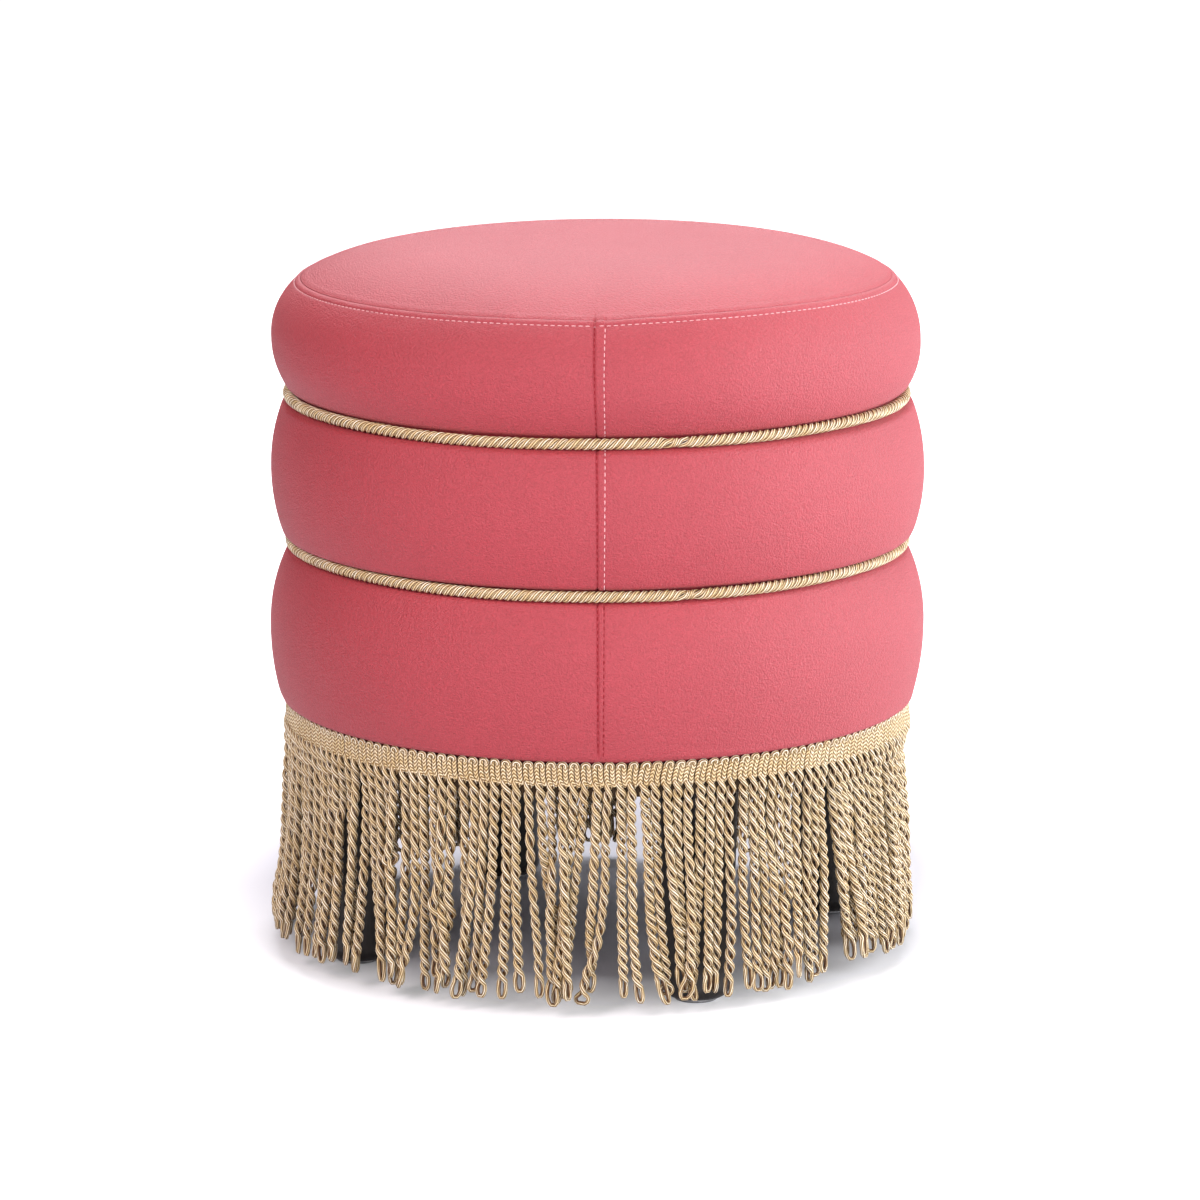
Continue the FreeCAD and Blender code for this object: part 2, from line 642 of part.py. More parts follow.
# Wadding and foam of each roll, between the rails that hold the grooves in
def make_roll_padding():
    rail_half = total("Sizes.rail_height / 2", "Sizes.soft_gap")
    inside = total("Sizes.drum_radius", "Sizes.soft_gap")
    above_lower = f"({LOWER_GROOVE} + {rail_half})"
    below_lower = f"({LOWER_GROOVE} - {rail_half})"
    above_upper = f"({UPPER_GROOVE} + {rail_half})"
    below_upper = f"({UPPER_GROOVE} - {rail_half})"
    ledge_inside = total(LEDGE, "Sizes.cover_thickness", "Sizes.soft_gap")
    wadding_top = f"({SEAM} - {SEAT_FOAM})"
    bands = (("lower", ledge_inside, below_lower), ("middle", above_lower, below_upper),
             ("upper", above_upper, wadding_top))
    for roll, bottom, top in bands:
        turned(f"{roll}_roll_wadding", climb(roll, UNDER_COVER, bottom, top)
               + descend(roll, UNDER_ROLL_WADDING, top, bottom))
    turned("middle_roll_foam", climb("middle", ROLL_FOAM, above_lower, below_upper)
           + [(inside, below_upper, None), (inside, above_lower, None)])
    turned("lower_roll_foam", climb("lower", ROLL_FOAM, ledge_inside, below_lower)
           + [(inside, below_lower, None), (inside, BASE_TOP, None),
              (BOARD_RADIUS, BASE_TOP, None),
              (BOARD_RADIUS, ledge_inside, None)])
    turned("upper_roll_foam", [
        (face("upper_under", ROLL_FOAM, above_upper), above_upper, ("left", "y", UPPER_LEVEL)),
        (f"{UPPER_RADIUS} - {ROLL_FOAM}", UPPER_LEVEL, None),
        (inside, UPPER_LEVEL, None),
        (inside, above_upper, None),
    ])


def make_dust_cover():
    bottom = LEG_TOP
    cover = disc("dust_cover", DUST_COVER_RADIUS, "Sizes.dust_cover_thickness", bottom)
    cover.setExpression("Placement.Rotation.Angle", "Sizes.leg_start_angle")
    edge = f"{LEG_RING} + Sizes.bolt_radius + Sizes.hole_gap"
    cut_leg_holes(cover, [(LEG_RING, bottom, None), (edge, bottom, None),
                          (edge, DUST_COVER_TOP, None), (LEG_RING, DUST_COVER_TOP, None)])
    start = f"({bottom} - Sizes.hole_gap)"
    through = total("Sizes.dust_cover_thickness", "2 * Sizes.hole_gap")
    cut_staple_holes(cover, "dust_staple", DUST_STAPLE_RING, "Sizes.dust_staple_count",
                     start, through, half_step("Sizes.dust_staple_count"))


# Ring of staples: crown below the cloth, two legs up into the base board
def make_staples(label, ring, count, cloth, angle="0"):
    body = new_body(label)
    sketch = new_sketch(body, "bow", "YZ_Plane", lift=ring)
    wide = "Sizes.staple_crown / 2"
    slim = "(Sizes.staple_crown / 2 - Sizes.staple_wire)"
    crown = f"({cloth} - Sizes.staple_wire)"
    tip = f"({BASE} + Sizes.staple_depth)"
    draw_outline(sketch, [
        (f"-{wide}", crown, None), (wide, crown, None), (wide, tip, None), (slim, tip, None),
        (slim, cloth, None), (f"-{slim}", cloth, None), (f"-{slim}", tip, None),
        (f"-{wide}", tip, None),
    ])
    pad = body.newObject("PartDesign::Pad", f"{label}_pad")
    pad.Profile = sketch
    pad.Midplane = True
    pad.setExpression("Length", "Sizes.staple_wire")
    repeat_round(body, "ring", [pad], count)
    body.setExpression("Placement.Rotation.Angle", f"Sizes.leg_start_angle + {angle}")


def make_cords():
    for label, groove in (("upper_cord", UPPER_GROOVE), ("lower_cord", LOWER_GROOVE)):
        cord = doc.addObject("Part::Torus", label)
        cord.Label = label
        cord.setExpression("Radius1", CORD_RING)
        cord.setExpression("Radius2", "Sizes.cord_radius")
        cord.setExpression("Placement.Base.z", groove)
        parts[label] = cord


# Woven band on the skirt, and the strands that hang from its lower edge
def make_fringe():
    turned("fringe_header",
           ring_corners(HEADER_INSIDE, HEADER_OUTSIDE, HEADER_BOTTOM, HEADER_TOP))
    step = f"360 / ({FRINGE_SECTORS} * Sizes.strands_per_sector)"
    round_start = f"({HEADER_BOTTOM} - Sizes.strand_length + Sizes.strand_radius)"
    edge = total(STRAND_RING, "Sizes.strand_radius")
    strand = [
        (STRAND_RING, f"({HEADER_BOTTOM} - Sizes.strand_length)", ("left", "x", STRAND_RING)),
        (edge, round_start, None),
        (edge, HEADER_BOTTOM, None),
        (STRAND_RING, HEADER_BOTTOM, None),
    ]
    for sector in range(FRINGE_SECTORS):
        body = new_body(f"fringe_strands_{sector + 1}")
        rod = turn_outline(body, "strand", strand, across=STRAND_RING)
        repeat_round(body, "row", [rod], "Sizes.strands_per_sector",
                     f"{step} * (Sizes.strands_per_sector - 1)")
        body.setExpression("Placement.Rotation.Angle", f"{sector} * 360 / {FRINGE_SECTORS}")


def check_parts():
    for item in doc.Objects:
        if "Invalid" in item.State or "Error" in item.State:
            raise RuntimeError(f"{item.Name} failed: {item.State}")
        if item.TypeId in ("PartDesign::Pocket", "PartDesign::Groove"):
            if item.Shape.Volume >= item.BaseFeature.Shape.Volume - 1e-6:
                raise RuntimeError(f"{item.Name} cuts nothing")
    for label, item in parts.items():
        if item.Shape.isNull() or not item.Shape.isValid():
            raise RuntimeError(f"{label} has no valid shape")


leg_total = int(SIZES["leg_count"])
for leg in range(leg_total):
    make_leg(leg)
    make_glide(leg)
    make_hanger_bolt(leg)
    make_t_nut(leg)
make_base_board()
make_seat_board()
for upright in range(int(SIZES["upright_count"])):
    make_upright(upright)
make_frame_screws()
make_drum()
make_side_cover()
make_top_panel()
make_seat_padding()
make_roll_padding()
make_dust_cover()
make_staples("cover_staples", COVER_STAPLE_RING, "Sizes.cover_staple_count", HEM_BOTTOM)
make_staples("dust_cover_staples", DUST_STAPLE_RING, "Sizes.dust_staple_count", LEG_TOP,
             half_step("Sizes.dust_staple_count"))
make_cords()
make_fringe()

doc.recompute()
check_parts()
os.makedirs("parts", exist_ok=True)
for label, item in parts.items():
    item.Shape.exportStep(f"parts/{label}.step")
    print(label, len(item.Shape.Solids), round(item.Shape.Volume, 1))
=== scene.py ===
import math
import bpy
import numpy as np
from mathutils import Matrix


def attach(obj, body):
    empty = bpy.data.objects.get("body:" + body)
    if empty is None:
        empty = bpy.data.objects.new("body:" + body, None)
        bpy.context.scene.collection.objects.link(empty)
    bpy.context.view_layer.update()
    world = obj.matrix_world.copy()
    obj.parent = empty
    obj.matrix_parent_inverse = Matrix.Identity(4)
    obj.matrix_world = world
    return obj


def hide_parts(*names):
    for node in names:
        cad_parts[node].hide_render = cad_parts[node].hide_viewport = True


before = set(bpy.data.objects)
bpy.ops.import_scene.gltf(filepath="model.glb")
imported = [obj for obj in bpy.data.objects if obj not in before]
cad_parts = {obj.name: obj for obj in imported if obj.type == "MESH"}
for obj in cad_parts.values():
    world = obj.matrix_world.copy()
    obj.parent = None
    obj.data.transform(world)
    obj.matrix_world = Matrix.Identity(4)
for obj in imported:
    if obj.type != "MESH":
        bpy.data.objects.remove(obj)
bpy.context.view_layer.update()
mm = 0.001
turn = 2 * math.pi
print("frame loaded:", len(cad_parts), "nodes")


# shader maths

class Wire:
    # one shader output: arithmetic on it adds Math nodes, and make() adds any other node
    def __init__(self, tree, socket=None):
        self.tree, self.socket = tree, socket

    def make(self, kind, settings=None, inputs=None, output=0):
        node = self.tree.nodes.new(kind)
        for key, value in (settings or {}).items():
            setattr(node, key, value)
        for key, value in (inputs or {}).items():
            if isinstance(value, Wire):
                self.tree.links.new(value.socket, node.inputs[key])
            else:
                node.inputs[key].default_value = value
        return Wire(self.tree, node.outputs[output])

    def maths(self, operation, *values):
        return self.make("ShaderNodeMath", {"operation": operation}, dict(enumerate(values)))

    def __add__(self, other):
        return self.maths("ADD", self, other)

    def __sub__(self, other):
        return self.maths("SUBTRACT", self, other)

    def __rsub__(self, other):
        return self.maths("SUBTRACT", other, self)

    def __mul__(self, other):
        return self.maths("MULTIPLY", self, other)

    __radd__, __rmul__ = __add__, __mul__


def addObject(name, data):
    made = bpy.data.objects.new(name, data)
    bpy.context.scene.collection.objects.link(made)
    return made


def rgb(red, green, blue):
    return (red, green, blue, 1.0)


def objectPlace(w):
    return w.make("ShaderNodeTexCoord", output="Object")


def noise(w, scale, detail=2.0, roughness=0.5, place=None):
    return w.make("ShaderNodeTexNoise", None, {"Vector": place or objectPlace(w), "Scale": scale,
                  "Detail": detail, "Roughness": roughness})


def mixed(w, factor, first, second):
    return w.make("ShaderNodeMix", {"data_type": "RGBA"}, {0: factor, 6: first, 7: second}, 2)


def ramp(w, value, low=0.3, high=0.7):
    # 0 below low, 1 above high and straight between
    return w.make("ShaderNodeMapRange", None, {0: value, 1: low, 2: high})


def bump(w, height, distance, strength=1.0):
    return w.make("ShaderNodeBump", None, {"Height": height, "Distance": distance,
                  "Strength": strength})


def stretched(w, *scale):
    # a place on which patterns are drawn out along the axes whose scale is small
    return w.make("ShaderNodeMapping", None, {"Vector": objectPlace(w), "Scale": scale})


def partsOf(w, place):
    return [w.make("ShaderNodeSeparateXYZ", None, {0: place}, side) for side in (0, 1, 2)]


def surface(w, tone, dark, light, rough, height, depth, strength=1.0):
    # what most finishes vary: dark to light by tone, the roughness, and a relief by height
    return {"Base Color": mixed(w, tone, dark, light), "Roughness": rough,
            "Normal": bump(w, height, depth, strength)}


def makeMaterial(name, fixed, nodes):
    # fixed values go on the shader's own sockets, nodes(w) gives what changes over the surface
    material = bpy.data.materials.new(name)
    material.use_nodes = True
    tree = material.node_tree
    shader = tree.nodes["Principled BSDF"]
    for key, value in fixed.items():
        shader.inputs[key].default_value = value
    for key, wire in nodes(Wire(tree)).items():
        tree.links.new(wire.socket, shader.inputs[key])
    return material


velvet = {
    "deep": rgb(0.280, 0.0020, 0.0075),
    "light": rgb(0.425, 0.0100, 0.0210),
    "patches": 7.0,      # patches, clouds and grains per metre
    "clouds": 60.0,
    "grain": 1100.0,
    "pileDepth": 0.0017,
}


def velvetNodes(w):
    # broad nap patches, where the pile leans another way, under a fine pile grain
    patch = noise(w, velvet["patches"], 3.0, 0.55)
    cloud = noise(w, velvet["clouds"])
    grain = noise(w, velvet["grain"], 2.0, 0.6)
    speck = noise(w, velvet["grain"] * 0.5, 1.0)
    tone = ramp(w, patch, 0.36, 0.66) * 0.14 + ramp(w, cloud) * 0.06 \
        + ramp(w, grain, 0.34, 0.66) * 0.50 + ramp(w, speck, 0.32, 0.68) * 0.30
    height = grain * 0.7 + speck * 0.6
    return surface(w, tone, velvet["deep"], velvet["light"], 0.70 - tone * 0.08, height,
                   velvet["pileDepth"], 0.6)


gold = {
    "pale": rgb(0.88, 0.72, 0.44),
    "deep": rgb(0.62, 0.435, 0.185),
    # a near-white painted highlight for yarn crests, then a painted shade for the valleys between
    # yarns and a darker one for the pockets between plies
    "paintedHighlight": rgb(1.0, 0.98, 0.87),
    "paintedValleyShade": rgb(0.27, 0.135, 0.028),
    "pocket": rgb(0.13, 0.050, 0.008),
    "yarns": 6.0,            # fine yarns round one ply
    "yarnDepth": 0.0007,
    "chain": 0.0023,         # length of one link of the braid's chain stitch, in metres
    "chainSlant": 4.4,       # links that a chain's V would drop in one turn of the rib
    # where a ply's inner side is painted dark, as shade in the pocket between plies, and where it
    # shows whole, as the cosine from its outer side, and then how many yarns pass a point per metre
    "strand": ((-0.74, -0.16), -100.0), "cord": ((-0.26, 0.30), -25.0),
    # the same span of painted pocket shade for the braid's ribs and for the arches
    "braidPocketShade": (0.10, 0.62), "archPocketShade": (-0.60, -0.10),
}


def yarnUv(w):
    # u runs once round a ply from its outer side, and v along it in metres
    return partsOf(w, w.make("ShaderNodeUVMap"))[:2]


def ridged(w, angle):
    # 1 on top of each yarn, 0 between two
    return w.maths("ABSOLUTE", w.maths("SINE", angle))


def roundPly(w, angle, wide, along):
    # a place for noise that closes on itself round the ply
    return w.make("ShaderNodeCombineXYZ", None, {0: w.maths("COSINE", angle) * wide,
                  1: w.maths("SINE", angle) * wide, 2: along})


def goldFinish(w, u, ridge, streak, pocketShadeSpan, paintedHighlight=0.9):
    # streak picks the yarns whose crests get more of the painted highlight; the span from the outer
    # side's cosine sets where the painted shade of the pocket between plies gives way to the yarn's
    # colour
    fibre = noise(w, 2400.0, 1.0)
    shade = noise(w, 45.0)
    top, highlightCrest = ramp(w, ridge, 0.42, 0.86), ramp(w, ridge, 0.76, 0.98)
    body = mixed(w, ramp(w, shade) * 0.55 + ramp(w, fibre) * 0.45, gold["deep"], gold["pale"])
    # painted highlight: near-white on the crests of some yarns
    body = mixed(w, ramp(w, streak, 0.42, 0.62) * highlightCrest * paintedHighlight, body, gold["paintedHighlight"])
    # painted shade: dark amber in the valleys between yarns
    body = mixed(w, top * 0.92 + 0.08, gold["paintedValleyShade"], body)
    # painted shade: near black on a ply's inner side, in the pocket between plies
    outer = ramp(w, w.maths("COSINE", u * turn), *pocketShadeSpan)
    return surface(w, outer, gold["pocket"], body, 0.42 - top * 0.14, ridge + fibre * 0.10,
                   gold["yarnDepth"])


def twistNodes(w, pocketShadeSpan, slant):
    # fine yarns that lie aslant round every ply, each with its own amount of painted highlight
    u, v = yarnUv(w)
    angle = u * turn + v * (slant / gold["yarns"] * turn)
    streak = noise(w, 1.6, 1.0, place=roundPly(w, angle, 1.3, v * 75.0))
    return goldFinish(w, u, ridged(w, angle * (gold["yarns"] / 2)), streak, pocketShadeSpan)


def tapeNodes(w):
    # the woven backing behind the ribs, coloured near black as painted shade for the dark gaps between
    # the strands' tops
    ridge = ridged(w, yarnUv(w)[1] * (math.pi / (1.2 * mm)))
    return surface(w, ridge, rgb(0.016, 0.010, 0.006), rgb(0.045, 0.027, 0.014),
                   0.9 - ridge * 0.1, ridge, 0.0002, 0.6)


def braidNodes(w):
    # chain stitches: links that meet in a V along the middle of every rib
    u, v = yarnUv(w)
    side = w.maths("ABSOLUTE", w.maths("SUBTRACT", w.maths("FRACT", u + 0.5), 0.5))
    ridge = ridged(w, (v * (1 / gold["chain"]) + side * gold["chainSlant"]) * math.pi)
    spot = w.make("ShaderNodeCombineXYZ", None, {0: side * 3.0, 1: v * 330.0})
    # the braid takes painted shade between links and on each rib's flanks, and half the painted
    # highlight
    return goldFinish(w, u, ridge, noise(w, 1.0, 1.0, place=spot), gold["braidPocketShade"], 0.45)


def archNodes(w):
    # the bare yarn over the top of a rib: two or three long threads with a strong painted highlight,
    # and painted shade on its inner side
    u, v = yarnUv(w)
    streak = noise(w, 1.4, 1.0, place=roundPly(w, u * turn, 1.0, v * 40.0)) + 0.12
    return goldFinish(w, u, ridged(w, (u + 0.10) * (math.pi * 5)), streak, gold["archPocketShade"])


def lacquerNodes(w):
    # near-black satin paint: faint brush lines along the leg and a little dust in the gloss
    lines = noise(w, 420.0, 3.0, place=stretched(w, 1.0, 1.0, 0.08))
    dust = noise(w, 900.0)
    return surface(w, ramp(w, lines, 0.35, 0.7), rgb(0.0095, 0.0075, 0.006),
                   rgb(0.022, 0.018, 0.015), 0.30 + ramp(w, dust, 0.4, 0.7) * 0.14,
                   lines, 0.0002, 0.35)


def plywoodNodes(w):
    # thin veneers stacked along Z, and long grain across the faces
    height = partsOf(w, objectPlace(w))[2]
    veneer = ramp(w, w.maths("SINE", height * (turn / (2.8 * mm))), -0.25, 0.25)
    grain = noise(w, 22.0, 4.0, 0.6, stretched(w, 1.0, 14.0, 1.0))
    speck = noise(w, 600.0)
    streak = ramp(w, grain)
    tone = streak * 0.6 + veneer * 0.25 + speck * 0.15
    return surface(w, tone, rgb(0.42, 0.25, 0.12), rgb(0.72, 0.53, 0.32), 0.62 + streak * 0.15,
                   grain, 0.0004, 0.4)


def pineNodes(w):
    # growth rings seen as long wavy lines up each batten
    place = stretched(w, 1.0, 1.0, 0.06)
    lines = noise(w, 160.0, 3.0, 0.55, place)
    pores = noise(w, 900.0, place=place)
    return surface(w, ramp(w, lines, 0.38, 0.62), rgb(0.50, 0.29, 0.12), rgb(0.77, 0.56, 0.32),
                   0.6 + pores * 0.15, lines + pores * 0.4, 0.0004, 0.4)


def fibreboardNodes(w):
    # pressed brown fibres
    fibres = noise(w, 420.0, 4.0, 0.7)
    cloud = noise(w, 18.0)
    tone = ramp(w, fibres) * 0.7 + cloud * 0.3
    return surface(w, tone, rgb(0.16, 0.085, 0.04), rgb(0.36, 0.22, 0.12), 0.7 + fibres * 0.15,
                   fibres, 0.0004, 0.4)


def foamNodes(w):
    # open cells in a yellowed foam
    cells = w.make("ShaderNodeTexVoronoi", None, {"Vector": objectPlace(w), "Scale": 420.0})
    cloud = noise(w, 14.0)
    tone = ramp(w, cells, 0.1, 0.6) * 0.6 + cloud * 0.4
    return surface(w, tone, rgb(0.62, 0.50, 0.24), rgb(0.83, 0.74, 0.47), 0.85 + cloud * 0.1,
                   cells, 0.0008, 0.6)


def waddingNodes(w):
    # loose white fibres
    fibres = noise(w, 240.0, 5.0, 0.75)
    fibres.socket.node.inputs["Distortion"].default_value = 1.5
    cloud = noise(w, 20.0)
    tone = ramp(w, fibres) * 0.6 + cloud * 0.4
    return surface(w, tone, rgb(0.70, 0.69, 0.66), rgb(0.90, 0.89, 0.87), 0.9 + cloud * 0.08,
                   fibres, 0.001, 0.6)


def dustClothNodes(w):
    # black spunbonded cloth: a grid of pressed dots among matted fibres
    x, y = [w.maths("SINE", part * (turn / (1.9 * mm))) for part in partsOf(w, objectPlace(w))[:2]]
    pressed = ramp(w, x * y, 0.25, 0.7)
    fibres = noise(w, 700.0, 4.0, 0.7)
    return surface(w, ramp(w, fibres), rgb(0.010, 0.010, 0.011), rgb(0.035, 0.035, 0.037),
                   0.85 - pressed * 0.3, fibres * 0.5 - pressed, 0.0003, 0.6)


def steelNodes(w):
    # plated steel with a cloudy bloom and fine rub marks
    bloom = noise(w, 160.0, 3.0)
    rub = noise(w, 700.0, place=stretched(w, 1.0, 1.0, 9.0))
    return surface(w, ramp(w, bloom), rgb(0.42, 0.42, 0.43), rgb(0.66, 0.66, 0.67),
                   0.28 + bloom * 0.25, rub, 0.0001, 0.3)


def threadNodes(w, dark, light):
    # a two-ply sewing thread seen as slanted lines, from its UV
    u, v = yarnUv(w)
    ridge = ridged(w, (u * 2.0 + v * 900.0) * math.pi)
    return surface(w, ridge, dark, light, 0.6 - ridge * 0.15, ridge, 0.0001, 0.6)


thread = {"pale": (rgb(0.62, 0.28, 0.32), rgb(0.90, 0.62, 0.65)),
          # the dark red is a thread colour darkened as painted shade for needle holes
          "red": (rgb(0.17, 0.006, 0.012), rgb(0.29, 0.010, 0.020))}
gilt, metal = {"Specular IOR Level": 0.8}, {"Metallic": 1.0}
finishes = {   # what is the same all over, and what varies
    "velvet": ({"Sheen Weight": 0.05, "Sheen Roughness": 0.5, "Sheen Tint": rgb(1.0, 0.93, 0.97),
                "Specular IOR Level": 0.935, "Specular Tint": rgb(0.90, 0.895, 1.0), "IOR": 1.6},
               velvetNodes),
    "gold_cord": (gilt, lambda w: twistNodes(w, *gold["cord"])),
    "gold_strand": (gilt, lambda w: twistNodes(w, *gold["strand"])),
    "gold_braid": (gilt, braidNodes), "gold_arch": (gilt, archNodes),
    "tape_painted_shade": ({"Specular IOR Level": 0.2}, tapeNodes),
    "pale_thread": ({"Specular IOR Level": 0.6}, lambda w: threadNodes(w, *thread["pale"])),
    "red_thread": ({"Specular IOR Level": 0.2}, lambda w: threadNodes(w, *thread["red"])),
    "black_lacquer": ({"Coat Weight": 0.25, "Coat Roughness": 0.25}, lacquerNodes),
    "plywood": ({}, plywoodNodes), "pine": ({}, pineNodes), "fibreboard": ({}, fibreboardNodes),
    "foam": ({"Sheen Weight": 0.2}, foamNodes), "wadding": ({"Sheen Weight": 0.4}, waddingNodes),
    "dust_cloth": ({}, dustClothNodes),
    "zinc_steel": (metal, steelNodes), "nickel_steel": (metal, steelNodes),
}
materials = {name: makeMaterial(name, *finish) for name, finish in finishes.items()}
print("materials made:", len(materials))


# meshes from arrays

def buildPiece(name, points, groups, uvGroups, finish, replaced=()):
    # one mesh from an array of points and groups of faces with equal numbers of corners
    corners = np.concatenate([g.ravel() for g in groups])
    counts = np.concatenate([np.full(len(g), g.shape[1]) for g in groups])
    fans = np.concatenate([g[:, [0, k, k + 1]] for g in groups for k in range(1, g.shape[1] - 1)])
    first, second, third = points[fans[:, 0]], points[fans[:, 1]], points[fans[:, 2]]
    if np.einsum("ij,ij->i", first, np.cross(second, third)).sum() < 0:   # inside out
        corners = np.concatenate([g[:, ::-1].ravel() for g in groups])
        uvGroups = [u[:, ::-1] for u in uvGroups]
    mesh = bpy.data.meshes.new(name)
    mesh.vertices.add(len(points))
    mesh.vertices.foreach_set("co", points.astype(np.float32).ravel())
    mesh.loops.add(len(corners))
    mesh.loops.foreach_set("vertex_index", corners.astype(np.int32))
    mesh.polygons.add(len(counts))
    mesh.polygons.foreach_set("loop_start", (np.cumsum(counts) - counts).astype(np.int32))
    mesh.polygons.foreach_set("use_smooth", np.full(len(counts), True))
    layer = mesh.uv_layers.new(name="yarn")
    layer.data.foreach_set("uv", np.concatenate([u.reshape(-1, 2) for u in uvGroups])
                           .astype(np.float32).ravel())
    mesh.update(calc_edges=True)
    mesh.validate()
    piece = addObject(name, mesh)
    mesh.materials.append(materials[finish])
    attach(piece, "root")
    if replaced:
        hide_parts(*replaced)
    print(f"{name}: {len(fans)} triangles")
    return piece


def gridGroups(count, rows, columns, closedRows):
    # faces of a batch of grids whose columns close on themselves; open ends get a fan to a pole
    r = np.arange(rows if closedRows else rows - 1)[:, None]
    c = np.arange(columns)[None, :]
    corners = [(r, c), (r, c + 1), (r + 1, c + 1), (r + 1, c)]
    quads = np.stack([(a % rows) * columns + b % columns for a, b in corners], -1).reshape(-1, 4)
    spots = np.stack([a * (columns + 1) + b for a, b in corners], -1).reshape(-1, 4)
    step = np.arange(count)[:, None, None]
    poles = 0 if closedRows else 2
    groups = [(quads[None] + step * (rows * columns + poles)).reshape(-1, 4)]
    uvSpots = [(spots[None] + step * (rows + 1) * (columns + 1)).reshape(-1, 4)]
    if poles:
        k = np.arange(columns)
        pole, last = rows * columns, (rows - 1) * columns
        low = np.stack([(k + 1) % columns, k, np.full(columns, pole)], -1)
        high = np.stack([last + k, last + (k + 1) % columns, np.full(columns, pole + 1)], -1)
        ends = np.concatenate([low, high])
        lowSpot = np.stack([k + 1, k, k], -1)
        highSpot = lowSpot[:, ::-1] + (rows - 1) * (columns + 1)
        endSpots = np.concatenate([lowSpot, highSpot])
        groups.append((ends[None] + step * (rows * columns + poles)).reshape(-1, 3))
        uvSpots.append((endSpots[None] + step * (rows + 1) * (columns + 1)).reshape(-1, 3))
    return groups, uvSpots


def gridPiece(name, grids, uv, finish, replaced=(), closedRows=False):
    # grids: (count, rows, columns, 3) points; uv: (count, rows + 1, columns + 1, 2) or none
    count, rows, columns = grids.shape[:3]
    if uv is None:
        uv = np.zeros((count, rows + 1, columns + 1, 2))
    groups, spots = gridGroups(count, rows, columns, closedRows)
    points = grids.reshape(count, rows * columns, 3)
    if not closedRows:
        points = np.concatenate([points, grids[:, :1].mean(2), grids[:, -1:].mean(2)], 1)
    flat = uv.reshape(-1, 2)
    return buildPiece(name, points.reshape(-1, 3), groups, [flat[s] for s in spots], finish,
                      replaced)


def joined(sets):
    # several batches of grids and their uv as one
    return [np.concatenate(part) for part in zip(*sets)]


def unit(vectors):
    return vectors / np.maximum(np.linalg.norm(vectors, axis=-1, keepdims=True), 1e-12)


def hump(x, height, wide):
    # a smooth swell round x = 0, or a dip where height is negative
    return height * np.exp(-(x / wide) ** 2)


def spread(columns, rows):
    # both as arrays of rows by columns
    return np.broadcast_arrays(columns[None, :], rows[:, None])


def onRing(r, theta, z):
    # points at radius r, angle theta and height z
    return np.stack([r * np.cos(theta), r * np.sin(theta), z + 0 * theta], -1)


def tubes(paths, guides, radii, sides, closed=False, outer=0.0, apart=0.0):
    # round tubes along paths (count, rows, 3): a ring of sides points in the plane across each
    # path point, started from the guide direction; radii is (count, rows, 2), along the guide
    # and across it; outer is the share of a turn from the guide to the side that shows, and
    # apart sets each tube's v off from the last one's, so that no two yarns look alike
    if closed:
        ahead, behind = np.roll(paths, -1, 1), np.roll(paths, 1, 1)
        along = unit(ahead - behind)
    else:
        along = unit(np.gradient(paths, axis=1))
    first = unit(guides - along * (guides * along).sum(-1, keepdims=True))
    second = np.cross(along, first)
    angle = np.arange(sides) * turn / sides
    rings = paths[:, :, None] + radii[:, :, None, :1] * np.cos(angle)[:, None] * first[:, :, None] \
        + radii[:, :, None, 1:] * np.sin(angle)[:, None] * second[:, :, None]
    steps = np.linalg.norm(np.diff(paths, axis=1), axis=-1)
    length = np.concatenate([np.zeros((len(paths), 1)), np.cumsum(steps, 1)], 1)
    length = np.concatenate([length, length[:, -1:] + steps.mean(1, keepdims=True)], 1)
    length = length + apart * np.arange(len(paths))[:, None]
    share = np.arange(sides + 1) / sides - outer
    uv = np.stack(np.broadcast_arrays(share[None, None, :], length[:, :, None]), -1)
    return rings, uv


# camera, light and floor

view = {"place": (0.0016, -3.5711, 0.9663), "down": 11.746, "lens": 168.63}   # m, degrees, mm
camera = addObject("camera", bpy.data.cameras.new("camera"))
bpy.context.scene.camera = camera
camera.location = view["place"]
camera.rotation_euler = (math.radians(90 - view["down"]), 0, 0)
camera.data.lens = view["lens"]
camera.data.sensor_width = 36.0

lights = {   # place, aimed at, size, watts, green and blue beside red 1
    "right": ((2.6, 0.3, 1.0), (0.0, 0.0, 0.3), 1.8, 94.0, 1.0),
    "top": ((0.0, 1.5, 2.4), (0.0, 0.0, 0.3), 2.0, 92.0, 1.0),
    "frontRight": ((1.6, -2.6, 1.2), (0.0, 0.0, 0.3), 1.6, 73.0, 1.0),
    "frontLeft": ((-1.7, -2.3, 2.3), (0.0, 0.0, 0.3), 1.8, 106.0, 0.88),
}
for name, (place, target, size, watts, cool) in lights.items():
    lamp = bpy.data.lights.new(name, "AREA")
    lamp.size, lamp.energy, lamp.color = size, watts, (1.0, cool, cool)
    holder = addObject(name, lamp)
    aim = np.array(target) - np.array(place)
    holder.location = place
    holder.rotation_euler = (math.acos(-aim[2] / np.linalg.norm(aim)), 0,
                             math.atan2(aim[0], -aim[1]) + math.pi)

world = bpy.data.worlds.new("studio")
bpy.context.scene.world = world
world.use_nodes = True
w = Wire(world.node_tree)
seen = w.make("ShaderNodeLightPath")       # white where it is seen, softer where it lights
strength = seen * 0.94 + 0.06
back = world.node_tree.nodes["Background"]
back.inputs[0].default_value = rgb(1.0, 1.0, 1.0)
world.node_tree.links.new(strength.socket, back.inputs[1])

floorSize = 9.0
floorMesh = bpy.data.meshes.new("floor")
floorMesh.from_pydata([(-floorSize, -floorSize, 0), (floorSize, -floorSize, 0),
                       (floorSize, floorSize, 0), (-floorSize, floorSize, 0)], [], [(0, 1, 2, 3)])
addObject("floor", floorMesh)


